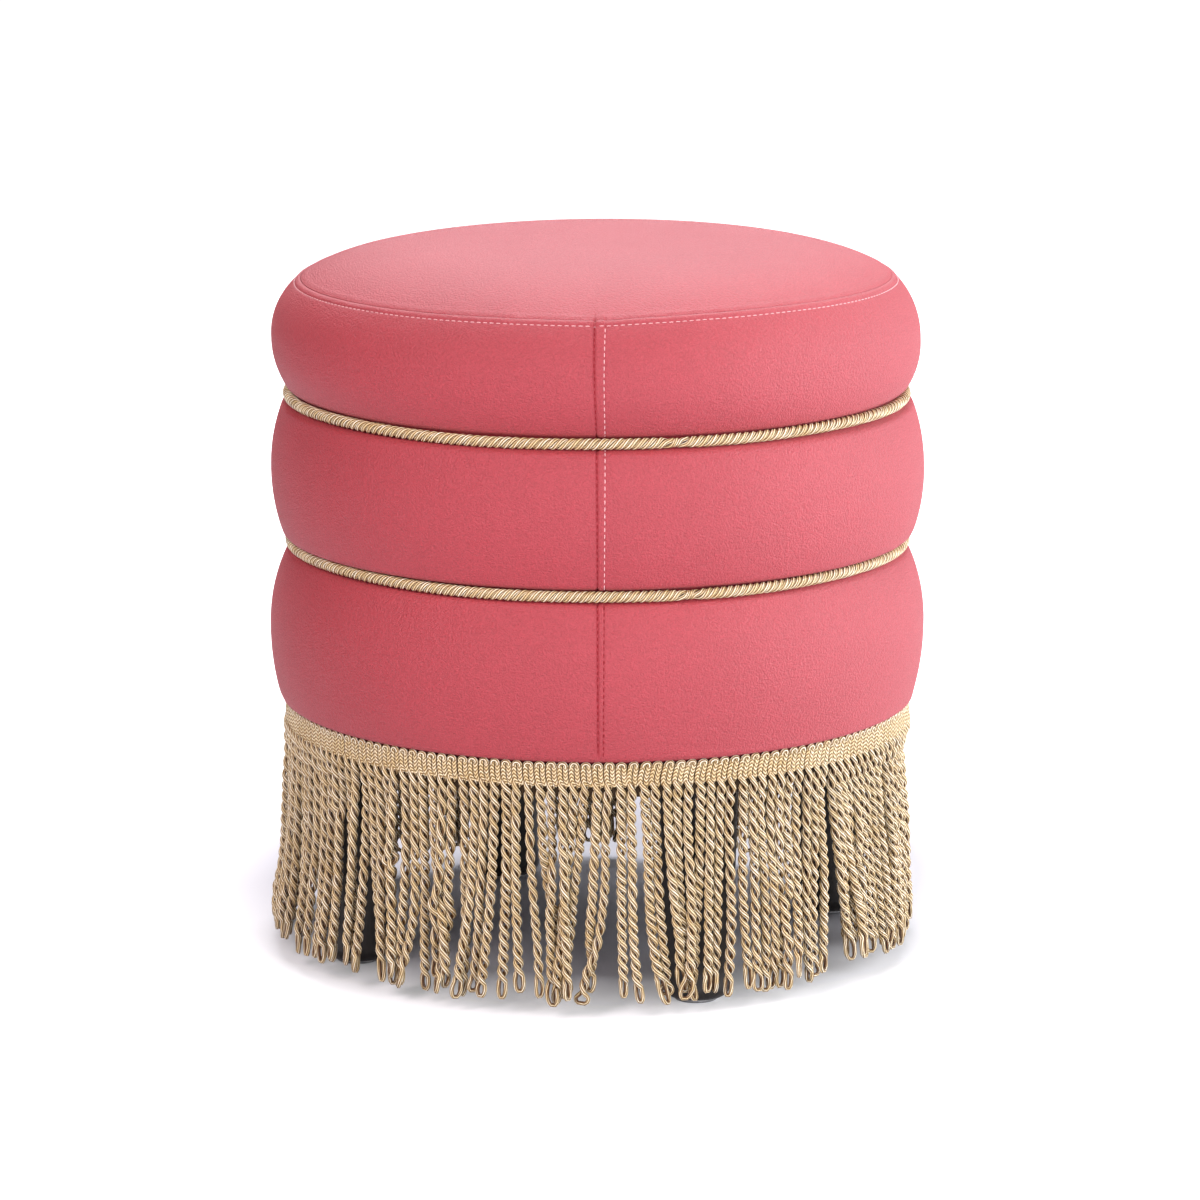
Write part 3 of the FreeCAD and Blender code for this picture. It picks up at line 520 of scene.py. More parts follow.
def floorNodes(w):
    # painted light and shadow on the paper: away from the stool it glows white to the camera only, and
    # near the stool it is darker and bluish, as painted shadow
    place = objectPlace(w)
    cloud = noise(w, 3.0)
    shifted = w.make("ShaderNodeVectorMath", {"operation": "MULTIPLY_ADD"},
                     {0: place, 1: (1.0, 0.8, 1.0), 2: (0.0, -0.14, 0.0)})
    far = w.make("ShaderNodeVectorMath", {"operation": "LENGTH"}, {0: shifted}, 1)
    seen = w.make("ShaderNodeLightPath")
    # painted light: a glow, seen by the camera only, that grows away from the stool
    paintedFloorLight = (ramp(w, far, 0.22, 0.31) * 0.50 + ramp(w, far, 0.28, 0.5) * 0.30
            + ramp(w, far, 0.5, 1.5) * 0.20) * seen
    paper = mixed(w, cloud, rgb(0.70, 0.70, 0.74), rgb(0.73, 0.73, 0.77))
    # painted shadow: darker bluish paper near the stool
    return {"Base Color": mixed(w, ramp(w, far, 0.16, 0.32), rgb(0.44, 0.44, 0.50), paper),
            "Emission Color": mixed(w, paintedFloorLight, rgb(0.0, 0.0, 0.0), rgb(1.0, 1.0, 1.0))}


floorMesh.materials.append(makeMaterial("floor", {"Roughness": 0.9, "Emission Strength": 1.0},
                           floorNodes))
bpy.context.scene.view_settings.view_transform = "Standard"
print("camera, lights and floor set")


# side cover

cover = {
    # widest radius, its lowest and highest height, arc radius below and above, in mm
    "rolls": [(211.4, 210.0, 212.0, 159.0, 113.0), (210.5, 313.5, 315.5, 113.0, 113.0),
              (208.9, 396.5, 399.5, 51.0, 50.5)],
    "grooves": [267.0, 362.0],
    "grooveFloor": 194.5,
    "grooveWidth": 4.4,
    "hemInside": 174.2, "hem": 140.5, "skirt": 199.4, "tuck": 163.2,
    "seam": 438.8,
    "cloth": 1.5,
    "stitchDrop": 5.0,       # from the top seam down to the stitches
    "stitchDip": (-0.35, 0.8), "seamSwell": (0.25, 1.6), "seamDip": (-0.55, 0.9),   # height, width
    "calmNearGroove": 6.5,   # the rolls are even this near to a groove
    "leanAt": 408.0, "lean": (-1.1, 34.0),      # the upper roll sits a little left
    "liftFrom": 385.0, "liftOver": 54.0,        # above this the roll follows the uneven top edge
    "thicker": 1.6, "thickerFrom": 164.0,       # the cloth with its backing, above this height
    "columns": 420, "seamColumns": (-5.0, 10.5, 52),    # round the stool; mm beside the seam
}


def rollRadius(z):
    # each roll is two circle arcs with their centres inside, joined at its widest height
    edges = [cover["tuck"] - 30, *cover["grooves"], cover["seam"] + 30]
    r = np.zeros_like(z)
    for (wide, low, high, below, above), start, end in zip(cover["rolls"], edges, edges[1:]):
        fall = np.where(z < low, low - z, np.maximum(z - high, 0))
        arc = np.where(z < low, below, above)
        lobe = wide - arc + np.sqrt(np.maximum(arc ** 2 - fall ** 2, 1))
        r = np.where((z >= start) & (z <= end), lobe, r)
    for groove in cover["grooves"]:
        near = np.exp(-(np.abs(z - groove) / cover["grooveWidth"]) ** 4)
        r = r - (r - cover["grooveFloor"]) * near
    return r


def coverProfile():
    # radius and height from the hem's inner edge, round the skirt, up the rolls to the seam
    tuck, skirt = cover["tuck"], cover["skirt"]
    z = np.linspace(tuck + 2.0, cover["seam"], 1500)
    rolls = np.stack([rollRadius(z), z], -1)
    lip = rolls[0, 0]
    start = np.array([[cover["hemInside"], cover["hem"] + 0.7],
                      [cover["hemInside"] + 0.4, cover["hem"]],
                      [skirt - 3.0, cover["hem"]], [skirt - 0.9, cover["hem"] + 0.7],
                      [skirt, cover["hem"] + 3.0], [skirt, tuck - 1.4],
                      [skirt + 0.4, tuck + 0.1], [skirt + 2.0, tuck + 0.5],
                      [lip - 1.8, tuck + 0.7], [lip - 0.6, tuck + 1.2]])
    line = np.concatenate([start, rolls])
    step = np.linalg.norm(np.diff(line, axis=0), axis=1)
    length = np.concatenate([[0], np.cumsum(step)])
    even = np.linspace(0, length[-1], 4000)
    line = np.stack([np.interp(even, length, line[:, k]) for k in (0, 1)], -1)
    kernel = np.hanning(31) / np.hanning(31).sum()         # rounds the joins
    for k in (0, 1):
        padded = np.concatenate([np.full(15, line[0, k]), line[:, k],
                                 2 * line[-1, k] - line[-2:-17:-1, k]])
        line[:, k] = np.convolve(padded, kernel, "valid")
    slope = unit(np.gradient(line, axis=0))
    return even, line, np.stack([slope[:, 1], -slope[:, 0]], -1)


lengths, outline, outward = coverProfile()
lipAt = np.interp(cover["tuck"] + 4, outline[:, 1], lengths)

seamLine = {   # upright seam at the front, X in mm by height
    "heights": [165.0, 267.0, 362.0, 440.0],
    "crease": [0.4, 0.0, -0.3, -1.2],
    "stitch": [3.6, 4.2, 4.8, 5.4],
    # height and width of what rises or dips: at the crease, at the stitches and beside them, and
    # the fold between the two
    "creaseDip": (-1.00, 0.70), "stitchDip": (-0.35, 0.8), "ridge": (0.30, 0.7),
    "fold": (0.35, 4.2), "hollow": (-0.25, 6.0),
}


def frontAngle(theta):
    # angle from the front, positive to the right
    return (theta + math.pi / 2 + math.pi) % turn - math.pi


def edgeHeight(theta):
    # how much the top edge lies above its mean height, mm
    a = np.degrees(frontAngle(theta))
    keysAt = [-180, -120, -80, -60, -40, -20, -5, 2, 9, 20, 36, 50, 65, 90, 130, 180]
    keys = [0.6, 0.0, -2.6, -2.0, -1.7, -1.3, -1.9, -1.9, -0.4, 0.9, 1.4, 1.1, 0.6, 0.4, 0.8, 0.6]
    fine = np.linspace(-180, 180, 721)
    line = np.interp(fine, keysAt, keys)
    kernel = np.hanning(13) / np.hanning(13).sum()
    line = np.convolve(np.concatenate([line[-7:-1], line, line[1:7]]), kernel, "valid")
    return np.interp(a, fine, line)


def edgeLift(theta, z):
    return edgeHeight(theta) * np.clip((z - cover["liftFrom"]) / cover["liftOver"], 0, 1) ** 2


def unevenness(theta, z):
    # slow swells of hand-stuffed rolls, mm
    a = frontAngle(theta)
    return 0.45 * np.sin(2 * a + 0.8 + z / 61) + 0.30 * np.sin(3 * a - 1.1 - z / 37) \
        + 0.22 * np.sin(5 * a + 2.0 + z / 23) + 0.12 * np.sin(9 * a - z / 15)


settle = {"columns": 216, "rows": 72, "frames": 20, "pressure": 4.0, "looseness": 0.004,
          "most": 1.4, "held": 5.5}      # mm that come back at most, mm held beside a line
settledBy = np.zeros((settle["rows"], settle["columns"]))    # mm, filled in by settleCover()


def settled(theta, s):
    # how far the cloth simulation moved the cover out at this angle and length, mm, read
    # between the four nearest points of its grid
    rows, columns = settledBy.shape
    u = theta % turn / turn * columns
    v = np.clip((s - lipAt) / (lengths[-1] - lipAt), 0, 0.99999) * (rows - 1)
    i, j = np.floor(v).astype(int), np.floor(u).astype(int) % columns
    fv, fu = v - np.floor(v), u - np.floor(u)
    low = settledBy[i, j] * (1 - fu) + settledBy[i, (j + 1) % columns] * fu
    high = settledBy[i + 1, j] * (1 - fu) + settledBy[i + 1, (j + 1) % columns] * fu
    return low * (1 - fv) + high * fv


def settleCover():
    # Cloth on a coarse copy of the cover's outside, pressed out from within and held at the
    # lip, under both cords and at the top seam; its weave is a little looser in slow patches.
    # The outline keeps its measured mean, so only what differs round the stool comes back
    theta = np.arange(settle["columns"]) * turn / settle["columns"]
    s = np.linspace(lipAt, lengths[-1], settle["rows"])
    start = coverPoint(*spread(theta, s))
    quads = gridGroups(1, settle["rows"], settle["columns"], False)[0][0]
    mesh = bpy.data.meshes.new("settling")
    mesh.from_pydata(start.reshape(-1, 3).tolist(), [], quads.tolist())
    cloth = addObject("settling", mesh)
    z = np.interp(s, lengths, outline[:, 1])
    fromHeld = np.min([np.abs(z - groove) for groove in cover["grooves"]]
                      + [z - z[0] + 1, lengths[-1] - s], 0)
    spots = np.arange(start[..., 0].size).reshape(start.shape[:2])
    held = spots[fromHeld < settle["held"]].ravel().tolist()
    cloth.vertex_groups.new(name="held").add(held, 1.0, "REPLACE")
    loose = cloth.vertex_groups.new(name="loose")
    wave = np.sin(5 * theta + z[:, None] / 27 + 0.7) * np.sin(3 * theta - z[:, None] / 19 + 2.1) \
        + 0.6 * np.sin(11 * theta - z[:, None] / 13) * np.sin(7 * theta + z[:, None] / 16 + 1.0)
    levels = np.round((wave + 1.6) / 3.2 * 12)
    for level in np.unique(levels):
        loose.add(spots[levels == level].tolist(), level / 12, "REPLACE")
    setting = cloth.modifiers.new("cloth", "CLOTH").settings
    setting.quality, setting.mass = 5, 0.3
    setting.vertex_group_mass, setting.vertex_group_shrink = "held", "loose"
    setting.shrink_min, setting.shrink_max = 0.0, -settle["looseness"]
    setting.use_pressure, setting.uniform_pressure_force = True, settle["pressure"]
    setting.effector_weights.gravity = 0.0
    for number in range(1, settle["frames"] + 1):
        bpy.context.scene.frame_set(number)
    shape = cloth.evaluated_get(bpy.context.evaluated_depsgraph_get()).data
    moved = np.empty(start.size, np.float32)
    shape.vertices.foreach_get("co", moved)
    away = unit(np.cross(np.roll(start, -1, 1) - np.roll(start, 1, 1), np.gradient(start, axis=0)))
    swell = ((moved.reshape(start.shape) - start) * away).sum(-1) / mm
    bpy.data.objects.remove(cloth)
    bpy.data.meshes.remove(mesh)
    bpy.context.scene.frame_set(1)
    print("settled: moved out", swell.min(), "to", swell.max(), "mm, mean", swell.mean())
    swell = swell - swell.mean(1, keepdims=True)
    return np.clip(swell, -settle["most"], settle["most"])


def seamX(z, line):
    return np.interp(z, seamLine["heights"], seamLine[line])


def coverPoint(theta, s):
    # the outside of the cover at angle theta and length s along the outline, both arrays alike
    r, z = np.interp(s, lengths, outline[:, 0]), np.interp(s, lengths, outline[:, 1])
    nr, nz = np.interp(s, lengths, outward[:, 0]), np.interp(s, lengths, outward[:, 1])
    x = r * frontAngle(theta)
    crease, stitch = x - seamX(z, "crease"), x - seamX(z, "stitch")
    high = np.clip((z - 165) / 5, 0, 1)
    rise = hump(crease, *seamLine["creaseDip"]) + hump(stitch, *seamLine["stitchDip"]) \
        + hump(stitch + 1.0, *seamLine["ridge"]) + hump(crease + stitch, *seamLine["fold"]) \
        + hump(crease, *seamLine["hollow"])
    fromTop = lengths[-1] - s
    ring = hump(fromTop - cover["stitchDrop"], *cover["stitchDip"]) \
        + hump(fromTop - 2.6, *cover["seamSwell"]) + hump(fromTop, *cover["seamDip"])
    away = np.ones_like(z)
    for groove in cover["grooves"]:
        away = away * (1 - hump(z - groove, 1.0, cover["calmNearGroove"]))
    d = rise * high + ring + unevenness(theta, z) * away * high + settled(theta, s)
    point = onRing((r + d * nr) * mm, theta, (z + d * nz + edgeLift(theta, z)) * mm)
    point[..., 0] += hump(z - cover["leanAt"], *cover["lean"]) * mm
    return point


def coverAngles():
    # even columns, and many narrow ones at the upright seam
    even = np.arange(cover["columns"]) * turn / cover["columns"]
    front = 1.5 * math.pi + np.linspace(*cover["seamColumns"]) / 209
    even = even[(even < front[0] - 0.004) | (even > front[-1] + 0.004)]
    return np.sort(np.concatenate([even, front]))


settledBy[:] = settleCover()
angles = coverAngles()
top = lengths[-1]
rowLengths = np.concatenate([np.linspace(0, lipAt, 26)[:-1],
                             np.linspace(lipAt, top - 9, 150)[:-1],
                             np.linspace(top - 9, top, 26)])
innerLengths = np.linspace(top, 0, 60)
insideR, insideZ = [np.interp(innerLengths, lengths, outline[:, k] - cover["cloth"] * outward[:, k])
                    for k in (0, 1)]
height = np.interp(innerLengths, lengths, outline[:, 1])
insideR = insideR - cover["thicker"] * np.clip((height - cover["thickerFrom"]) / 4, 0, 1)
theta, z = spread(angles, insideZ)
innerGrid = onRing(insideR[:, None] * mm, theta, (z + edgeLift(theta, z)) * mm)
innerGrid[..., 0] += hump(z - cover["leanAt"], *cover["lean"]) * mm
grid = np.concatenate([coverPoint(*spread(angles, rowLengths)), innerGrid])[None]
sideCover = gridPiece("velvet_side_cover", grid, None, "velvet", ["side_cover"], closedRows=True)


# top panel

crown = {"rise": 19.0, "power": 4.74, "thickness": 1.5, "lean": 0.004, "swell": 0.5,
         "seamBead": (0.3, 2.0), "shift": (0.5, 0, 0)}


def crownPoint(theta, share):
    # share runs from 0 in the middle to 1 at the seam; the crown is flat and falls to its edge,
    # and what the side cover does at the seam fades a little way in
    edge = coverPoint(theta, np.full_like(theta, lengths[-1]))
    plain = (onRing(outline[-1, 0], theta, cover["seam"]) - crown["shift"]) * mm
    fromEdge = (1 - share) * 190
    rise = crown["rise"] * (1 - share ** crown["power"]) + hump(fromEdge - 3, *crown["seamBead"])
    x, y = plain[..., 0] * share, plain[..., 1] * share
    inner = 1 - share ** 4
    swell = crown["swell"] * np.sin(16.3 * x + 0.6) * np.sin(12.1 * y + 1.0) * inner
    lean = crown["lean"] * x * inner
    point = np.stack([x, y, plain[..., 2] + (rise + swell) * mm + lean], -1)
    near = (share ** 30)[..., None]
    low = (share ** 3)[..., None] * np.array([0, 0, 1.0])
    lift = (edgeHeight(theta) * mm)[..., None]
    return point + (edge - plain - lift * np.array([0, 0, 1.0])) * near + lift * low


shares = np.concatenate([np.linspace(0.012, 0.93, 60)[:-1], np.linspace(0.93, 1.0, 22)])
underGrid = crownPoint(*spread(angles, np.linspace(0.985, 0.012, 30)))
underGrid[..., 2] -= crown["thickness"] * mm
grid = np.concatenate([crownPoint(*spread(angles, shares)), underGrid])[None]
topPanel = gridPiece("velvet_top_panel", grid, None, "velvet", ["top_panel"])


# twisted cords

cords = {
    "ring": 198.3, "plies": 3, "plyRadius": 1.66, "twistRadius": 1.98, "sides": 10, "rings": 1560,
    # height, degrees from the front to where the ends are joined, turns of the twist, lean
    "upper": (362.0, 14.0, 83, -0.5), "lower": (267.0, 16.5, 90, 0.0),
}


def cordPiece(name, height, splice, turns, lean):
    # each ply is a helix round the ring; the phase runs on with the angle and the plies are
    # pressed together where the two ends of the cord are joined
    theta = np.arange(cords["rings"]) * turn / cords["rings"]
    ply = np.arange(cords["plies"])[:, None] * turn / cords["plies"]
    a = np.degrees(frontAngle(theta)) - splice
    joint = hump(a, 1.0, 2.0)
    phase = turns * theta[None] + ply + 0.9 * joint * np.sin(a * 1.7)
    reach = cords["twistRadius"] * (1 - 0.22 * joint) \
        * (1 + 0.03 * np.sin(41 * theta + 1) * np.sin(13 * theta))
    sag = 0.35 * np.sin(3 * theta + height) + 0.2 * np.sin(7 * theta)
    paths = onRing((cords["ring"] + reach * np.cos(phase)) * mm, theta,
                   (height + sag + reach * np.sin(phase)) * mm)
    paths[..., 0] += lean * mm
    guides = onRing(np.cos(phase), theta, np.sin(phase))
    radii = np.full(paths.shape[:2] + (2,), cords["plyRadius"] * mm)
    radii = radii * (1 - 0.12 * joint)[None, :, None]
    rings, uv = tubes(paths, guides, radii, cords["sides"], closed=True)
    gridPiece(f"gold_{name}_cord", rings, uv, "gold_cord", [f"{name}_cord"], closedRows=True)


for name in ("upper", "lower"):
    cordPiece(name, *cords[name])


# stitches

stitches = {
    "pitch": 4.25, "length": 2.8, "radius": 0.28, "sunk": 0.02, "bow": 0.12, "sides": 6, "rings": 7,
    "ring": 192.5,           # radius of the seam, for their number
    "clear": 3.8,            # none this near to a groove's middle
    # seam line, lowest and highest, shift along it
    "pale": [("stitch", 270, 434, 0.0)],
    # dark red stitches stand for needle holes: thread colour darkened as painted shade of the holes,
    # along the crease and on the lower roll
    "dark": [("stitch", 160, 262, 0.0), ("crease", 160, 436, 1.9)],
}


def stitchGrids(theta, s, alongSeam):
    # a stitch is a short blunt spindle that lies on the cover: sqrt(1 - x^4) thick along x
    step = 1e-4
    here = coverPoint(theta, s)
    onward = unit(coverPoint(theta + step, s) - here)
    up = unit(coverPoint(theta, s + 0.05) - here)
    normal = unit(np.cross(onward, up))
    along, across = (onward, up) if alongSeam else (up, onward)
    x = np.linspace(-0.97, 0.97, stitches["rings"])
    thick = stitches["radius"] * np.sqrt(1 - x ** 4)
    angle = np.arange(stitches["sides"]) * turn / stitches["sides"]
    bow = stitches["sunk"] + stitches["bow"] * (1 - x ** 2)
    low = here[:, None, None] + normal[:, None, None] * (bow[None, :, None, None] * mm)
    grids = low + along[:, None, None] * (x * stitches["length"] / 2 * mm)[None, :, None, None] \
        + across[:, None, None] * (thick[:, None] * np.cos(angle))[None, :, :, None] * mm \
        + normal[:, None, None] * (thick[:, None] * np.sin(angle))[None, :, :, None] * mm
    share = np.arange(stitches["sides"] + 1) / stitches["sides"]
    long = np.arange(stitches["rings"] + 1) * stitches["length"] / stitches["rings"] * mm
    uv = np.stack(np.broadcast_arrays(share[None, None], long[None, :, None]), -1)
    return grids, np.broadcast_to(uv, (len(theta),) + uv.shape[1:])


def uprightStitches(line, low, high, shift):
    # stitches up the front at the given seam line, none where a cord hides them
    s = np.arange(lipAt + 2, lengths[-1] - 2, stitches["pitch"]) + shift
    z = np.interp(s, lengths, outline[:, 1])
    clear = np.min([np.abs(z - groove) for groove in cover["grooves"]], 0) > stitches["clear"]
    keep = clear & (z > low) & (z < high)
    s, z = s[keep], z[keep]
    r = np.interp(s, lengths, outline[:, 0])
    return stitchGrids(1.5 * math.pi + seamX(z, line) / r, s, False)


def stitchPieces():
    count = round(turn * stitches["ring"] / stitches["pitch"])
    theta = (np.arange(count) + 0.5) * turn / count
    ring = stitchGrids(theta, np.full(count, lengths[-1] - cover["stitchDrop"]), True)
    pale = [uprightStitches(*run) for run in stitches["pale"]]
    dark = [uprightStitches(*run) for run in stitches["dark"]]
    gridPiece("top_stitches", *joined([ring] + pale), "pale_thread")
    gridPiece("seam_stitches", *joined(dark), "red_thread")


stitchPieces()


# fringe

fringe = {
    "strands": 176, "sectors": 8, "ring": 201.2,
    "headTop": 161.3, "headBottom": 148.9, "legGap": 1.79,
    "plyRadius": 1.48, "twistRadius": 1.84, "halfTwist": 8.75,
    "bottom": 12.4, "loopHeight": 12.5, "loopWidth": 2.6, "uneven": 2.4,
    "shortAtRight": (1.8, 0.3),              # mm, and over how much of the angle
    "sides": 8, "rings": 250, "seed": 11,
    # how strands hang, mm at their ends: on their own, in clumps, near the header, in waves
    "lean": 4.2, "clump": 11.0, "early": 1.5, "wave": 2.0,
    "flare": 4.6, "flareLeft": 9.6, "flareUneven": (2.2, 2.4), "inward": (1.2, 4.2, 0.4),
    "clear": 6.3, "rounds": 90,              # apart, and rounds of pushing until they are
}
header = {   # mm; legs are the bound sides of a rib, the arch is the bare scallop over them
    "legRings": 20, "archRings": 11, "sides": 8, "seed": 4, "uneven": 0.10, "unevenOut": 0.14,
    "legThick": 1.40, "archThick": 1.85, "wide": 1.80, "link": 0.05,
    "archFull": 0.74, "archWide": 1.16, "archRise": 1.9, "archOut": 0.25, "archUneven": 0.22,
    # ribs lean between these two angles from the front, and bend at the foot
    "slant": 0.29, "slantFrom": (0.10, 0.016), "slantTo": (2.4, 0.25), "foot": (1.8, 2.4),
}
strandAngles = np.arange(fringe["strands"]) * turn / fringe["strands"]


def tapePiece():
    # the woven tape behind the ribs, a thin closed ring
    r = np.array([199.75, 200.35, 200.55, 200.55, 200.35, 199.75, 199.6, 199.6])
    z = np.array([141.0, 141.0, 141.4, 161.9, 162.3, 162.3, 161.9, 141.4])
    theta = np.arange(264) * turn / 264
    grid = onRing(r[:, None], theta, z[:, None])[None] * mm
    long = np.linspace(0, turn * 0.2, 265)
    uv = np.stack(np.broadcast_arrays(0.5 + 0.02 * np.arange(9)[None, :, None], long[None, None]), -1)
    gridPiece("gold_fringe_tape", grid, uv, "tape_painted_shade", closedRows=True)


def ribLean(a, high):
    # how far a rib of the header, high mm above its foot, leans to the right at angle a
    (start, soft), (end, softEnd), (foot, fade) = [header[key] for key in
                                                   ("slantFrom", "slantTo", "foot")]
    lean = header["slant"] / (1 + np.exp(-(a - start) / soft)) / (1 + np.exp((a - end) / softEnd))
    return lean * (high - 6.5) + foot * np.exp(-high / fade)


def headerPiece():
    # each strand's yarn stands in the header as an upside-down U whose legs are bound flat by
    # chain stitches; a bare stretch of it is the scallop on top, a piece of its own finish
    rng = np.random.default_rng(header["seed"])
    legRings, gap, count = header["legRings"], fringe["legGap"], fringe["strands"]
    up = np.linspace(fringe["headBottom"] - 0.6, fringe["headTop"], legRings)
    a = frontAngle(strandAngles)[:, None]
    guides = onRing(1.0, strandAngles, 0)
    shift = rng.normal(size=(count, 1)) * header["uneven"]
    deep = header["unevenOut"] * rng.normal(size=(count, 1))
    for name, finish, legs in (("gold_fringe_header", "gold_braid", True),
                               ("gold_fringe_scallops", "gold_arch", False)):
        if legs:
            t = gap * np.repeat([-1.0, 1.0], legRings)
            h = np.concatenate([up, up[::-1]])
            bend, full, thick, out, link = 0 * h, 1.0, header["legThick"], 0.0, header["link"]
            parts = [slice(0, legRings), slice(legRings, None)]
        else:
            bend = np.linspace(-0.12, 1.12, header["archRings"]) * math.pi
            t = -gap * header["archWide"] * np.cos(bend)
            h = fringe["headTop"] - 0.7 + header["archRise"] * np.sin(bend)
            full, thick, out, link = header["archFull"], header["archThick"], header["archOut"], 0.0
            parts = [slice(None)]
        theta = strandAngles[:, None] \
            + (t[None] + ribLean(a, (h - fringe["headBottom"])[None]) + shift) / fringe["ring"]
        uneven = rng.normal(size=(count, 1)) * header["archUneven"]
        z = h[None] + uneven * np.sin(np.clip(bend, 0, math.pi))[None]
        paths = onRing(fringe["ring"] + out + deep, theta, z) * mm
        bead = 1 + link * np.sin(h * turn / (gold["chain"] / mm))[None]
        radii = np.stack([thick * bead * full + 0 * theta, header["wide"] * full + 0 * theta], -1) * mm
        sets = [tubes(paths[:, part], guides[:, None] + 0 * paths[:, part], radii[:, part],
                      header["sides"], apart=0.031) for part in parts]
        gridPiece(name, *joined(sets), finish, ["fringe_header"] if legs else [])


def strandAxes(rng):
    # how far each strand's middle line stands along the ring and outwards, mm, at 24 levels:
    # strands drift into clumps and across each other, and where two would cut through each other
    # one is pushed in front of the other
    count, levels = fringe["strands"], 24
    depth = np.linspace(0, 1, levels)
    white = rng.normal(size=(4, count))
    near = np.convolve(np.tile(white[1], 3), np.hanning(7) / np.hanning(7).sum(), "same")
    a = frontAngle(strandAngles)
    lean = fringe["lean"] * white[0] + fringe["clump"] * near[count:2 * count]
    early = fringe["early"] * white[2]
    sway = rng.normal(size=count) * fringe["wave"]
    phase = rng.uniform(0, turn, count)
    t = lean[:, None] * depth ** 1.4 + early[:, None] * (1 - np.exp(-depth * 9)) \
        + sway[:, None] * depth * np.sin(depth * math.pi * 1.8 + phase[:, None])
    right, left = hump(a - 1.5, 1.0, 0.75), hump(a + 1.5, 1.0, 0.6)
    front, atRight, atLeft = fringe["inward"]
    inward = -(front + atRight * right + atLeft * left)[:, None] * np.minimum(depth / 0.12, 1) ** 2 \
        + 2.4 * right[:, None] * np.clip((depth - 0.15) / 0.35, 0, 1)
    uneven, more = fringe["flareUneven"]
    flare = (fringe["flare"] + fringe["flareLeft"] * left
             + rng.normal(size=count) * (uneven + more * left))[:, None] \
        * depth ** (1.6 + 1.3 * left[:, None])
    out = inward + flare + 1.2 * white[3][:, None] * np.minimum(depth / 0.2, 1)
    base = np.arange(count)[:, None] * (turn * fringe["ring"] / count)
    around = turn * fringe["ring"]
    side = np.where(np.arange(count) % 2 == 0, 1.0, -1.0)[:, None]
    free = np.minimum(depth * 7, 1)
    for _ in range(fringe["rounds"]):
        for gap in (1, 2, 3):
            dt = np.roll(base + t, -gap, 0) - (base + t)
            dt = (dt + around / 2) % around - around / 2
            do = np.roll(out, -gap, 0) - out
            apart = np.sqrt(dt ** 2 + do ** 2) + 1e-6
            push = np.maximum(fringe["clear"] - apart, 0) * 0.30 * free
            turnTo = np.where(np.abs(do) < 0.4, side, np.sign(do))
            t += (np.roll(push * dt / apart, gap, 0) - push * dt / apart) * 0.22
            out += (np.roll(push * turnTo, gap, 0) - push * turnTo) * 0.6
        out = np.clip(out, inward - 5.0, inward + 11.0)
        out = out * 0.985 + (inward + flare) * 0.015
    return depth, t, out


def strandPieces():
    # one yarn goes down as the first ply, round the loop and up as the second: the plies stand
    # opposite each other on a turning circle, and spread into a teardrop at the end
    rng = np.random.default_rng(fringe["seed"])
    depth, leans, outs = strandAxes(rng)
    count, head = fringe["strands"], fringe["headBottom"] + 0.7

    def uneven(amount):
        return amount * rng.normal(size=(count, 1))

    longs = head - fringe["bottom"] + rng.normal(size=count) * fringe["uneven"]
    longs = longs - hump(frontAngle(strandAngles) - 0.95, *fringe["shortAtRight"])
    longs = np.minimum(longs, head - 9.6)
    pitch = fringe["halfTwist"] * (1 + 0.09 * rng.normal(size=count))
    turns = np.round(longs / pitch) * math.pi + rng.normal(size=count) * 0.5
    v = np.linspace(-1, 1, fringe["rings"])
    side = np.where(v < 0, -1.0, 1.0)
    level = (1 - np.abs(v))[None] * longs[:, None]          # 0 at the header
    fromEnd = longs[:, None] - level
    loop = fringe["loopHeight"] * np.clip(1 + uneven(0.26), 0.6, 1.7)
    wide = np.clip(fringe["loopWidth"] * (1 + uneven(0.30)), 1.7, 4.4)
    share = np.clip(level / (longs[:, None] - loop * 0.75), 0, 1)
    wobble = 0.55 * np.sin(share * 9 + rng.uniform(0, turn, (count, 1))) \
        + 0.35 * np.sin(share * 21 + rng.uniform(0, turn, (count, 1)))
    phase = -math.pi / 2 + turns[:, None] * share + wobble * share * (1 - share) * 4
    swell = np.clip((loop - fromEnd) / (loop * 0.55), 0, 1)
    tight = fringe["twistRadius"] * (1 + uneven(0.05))
    reach = tight * (1 + 0.06 * np.sin(share * 31 + phase[:, :1] * 5)) \
        + (wide - tight) * swell ** 2 * (3 - 2 * swell)
    lowHalf = loop * 0.42
    reach = reach * np.sqrt(np.clip(1 - np.clip(1 - fromEnd / lowHalf, 0, 1) ** 2, 0, 1))
    place = [np.stack([np.interp(d, depth, row) for d, row in zip(level / longs[:, None], rows)])
             for rows in (leans, outs)]
    along, away = -np.sin(phase) * reach * side, -np.cos(phase) * reach * side
    theta = strandAngles[:, None] + (place[0] + along) / fringe["ring"]
    r = fringe["ring"] + place[1] + away
    paths = onRing(r, theta, head - level) * mm
    guides = np.stack([-np.sin(theta) * np.cos(phase) - np.cos(theta) * np.sin(phase),
                       np.cos(theta) * np.cos(phase) - np.sin(theta) * np.sin(phase),
                       0 * theta], -1)
    thick = fringe["plyRadius"] * (1 + uneven(0.04)) + 0 * theta
    inLoop = swell ** 2 * 0.10
    radii = np.stack([thick * (1.13 - 2 * inLoop), thick * (0.97 - inLoop * 0.3)], -1) * mm
    rings, uv = tubes(paths, guides, radii, fringe["sides"], outer=0.25, apart=0.37)
    each = count // fringe["sectors"]
    for k in range(fringe["sectors"]):
        part = slice(k * each, (k + 1) * each)
        gridPiece(f"gold_fringe_strands_{k + 1}", rings[part], uv[part], "gold_strand",
                  [f"fringe_strands_{k + 1}"])


tapePiece()
headerPiece()
strandPieces()


# foam and wadding inside

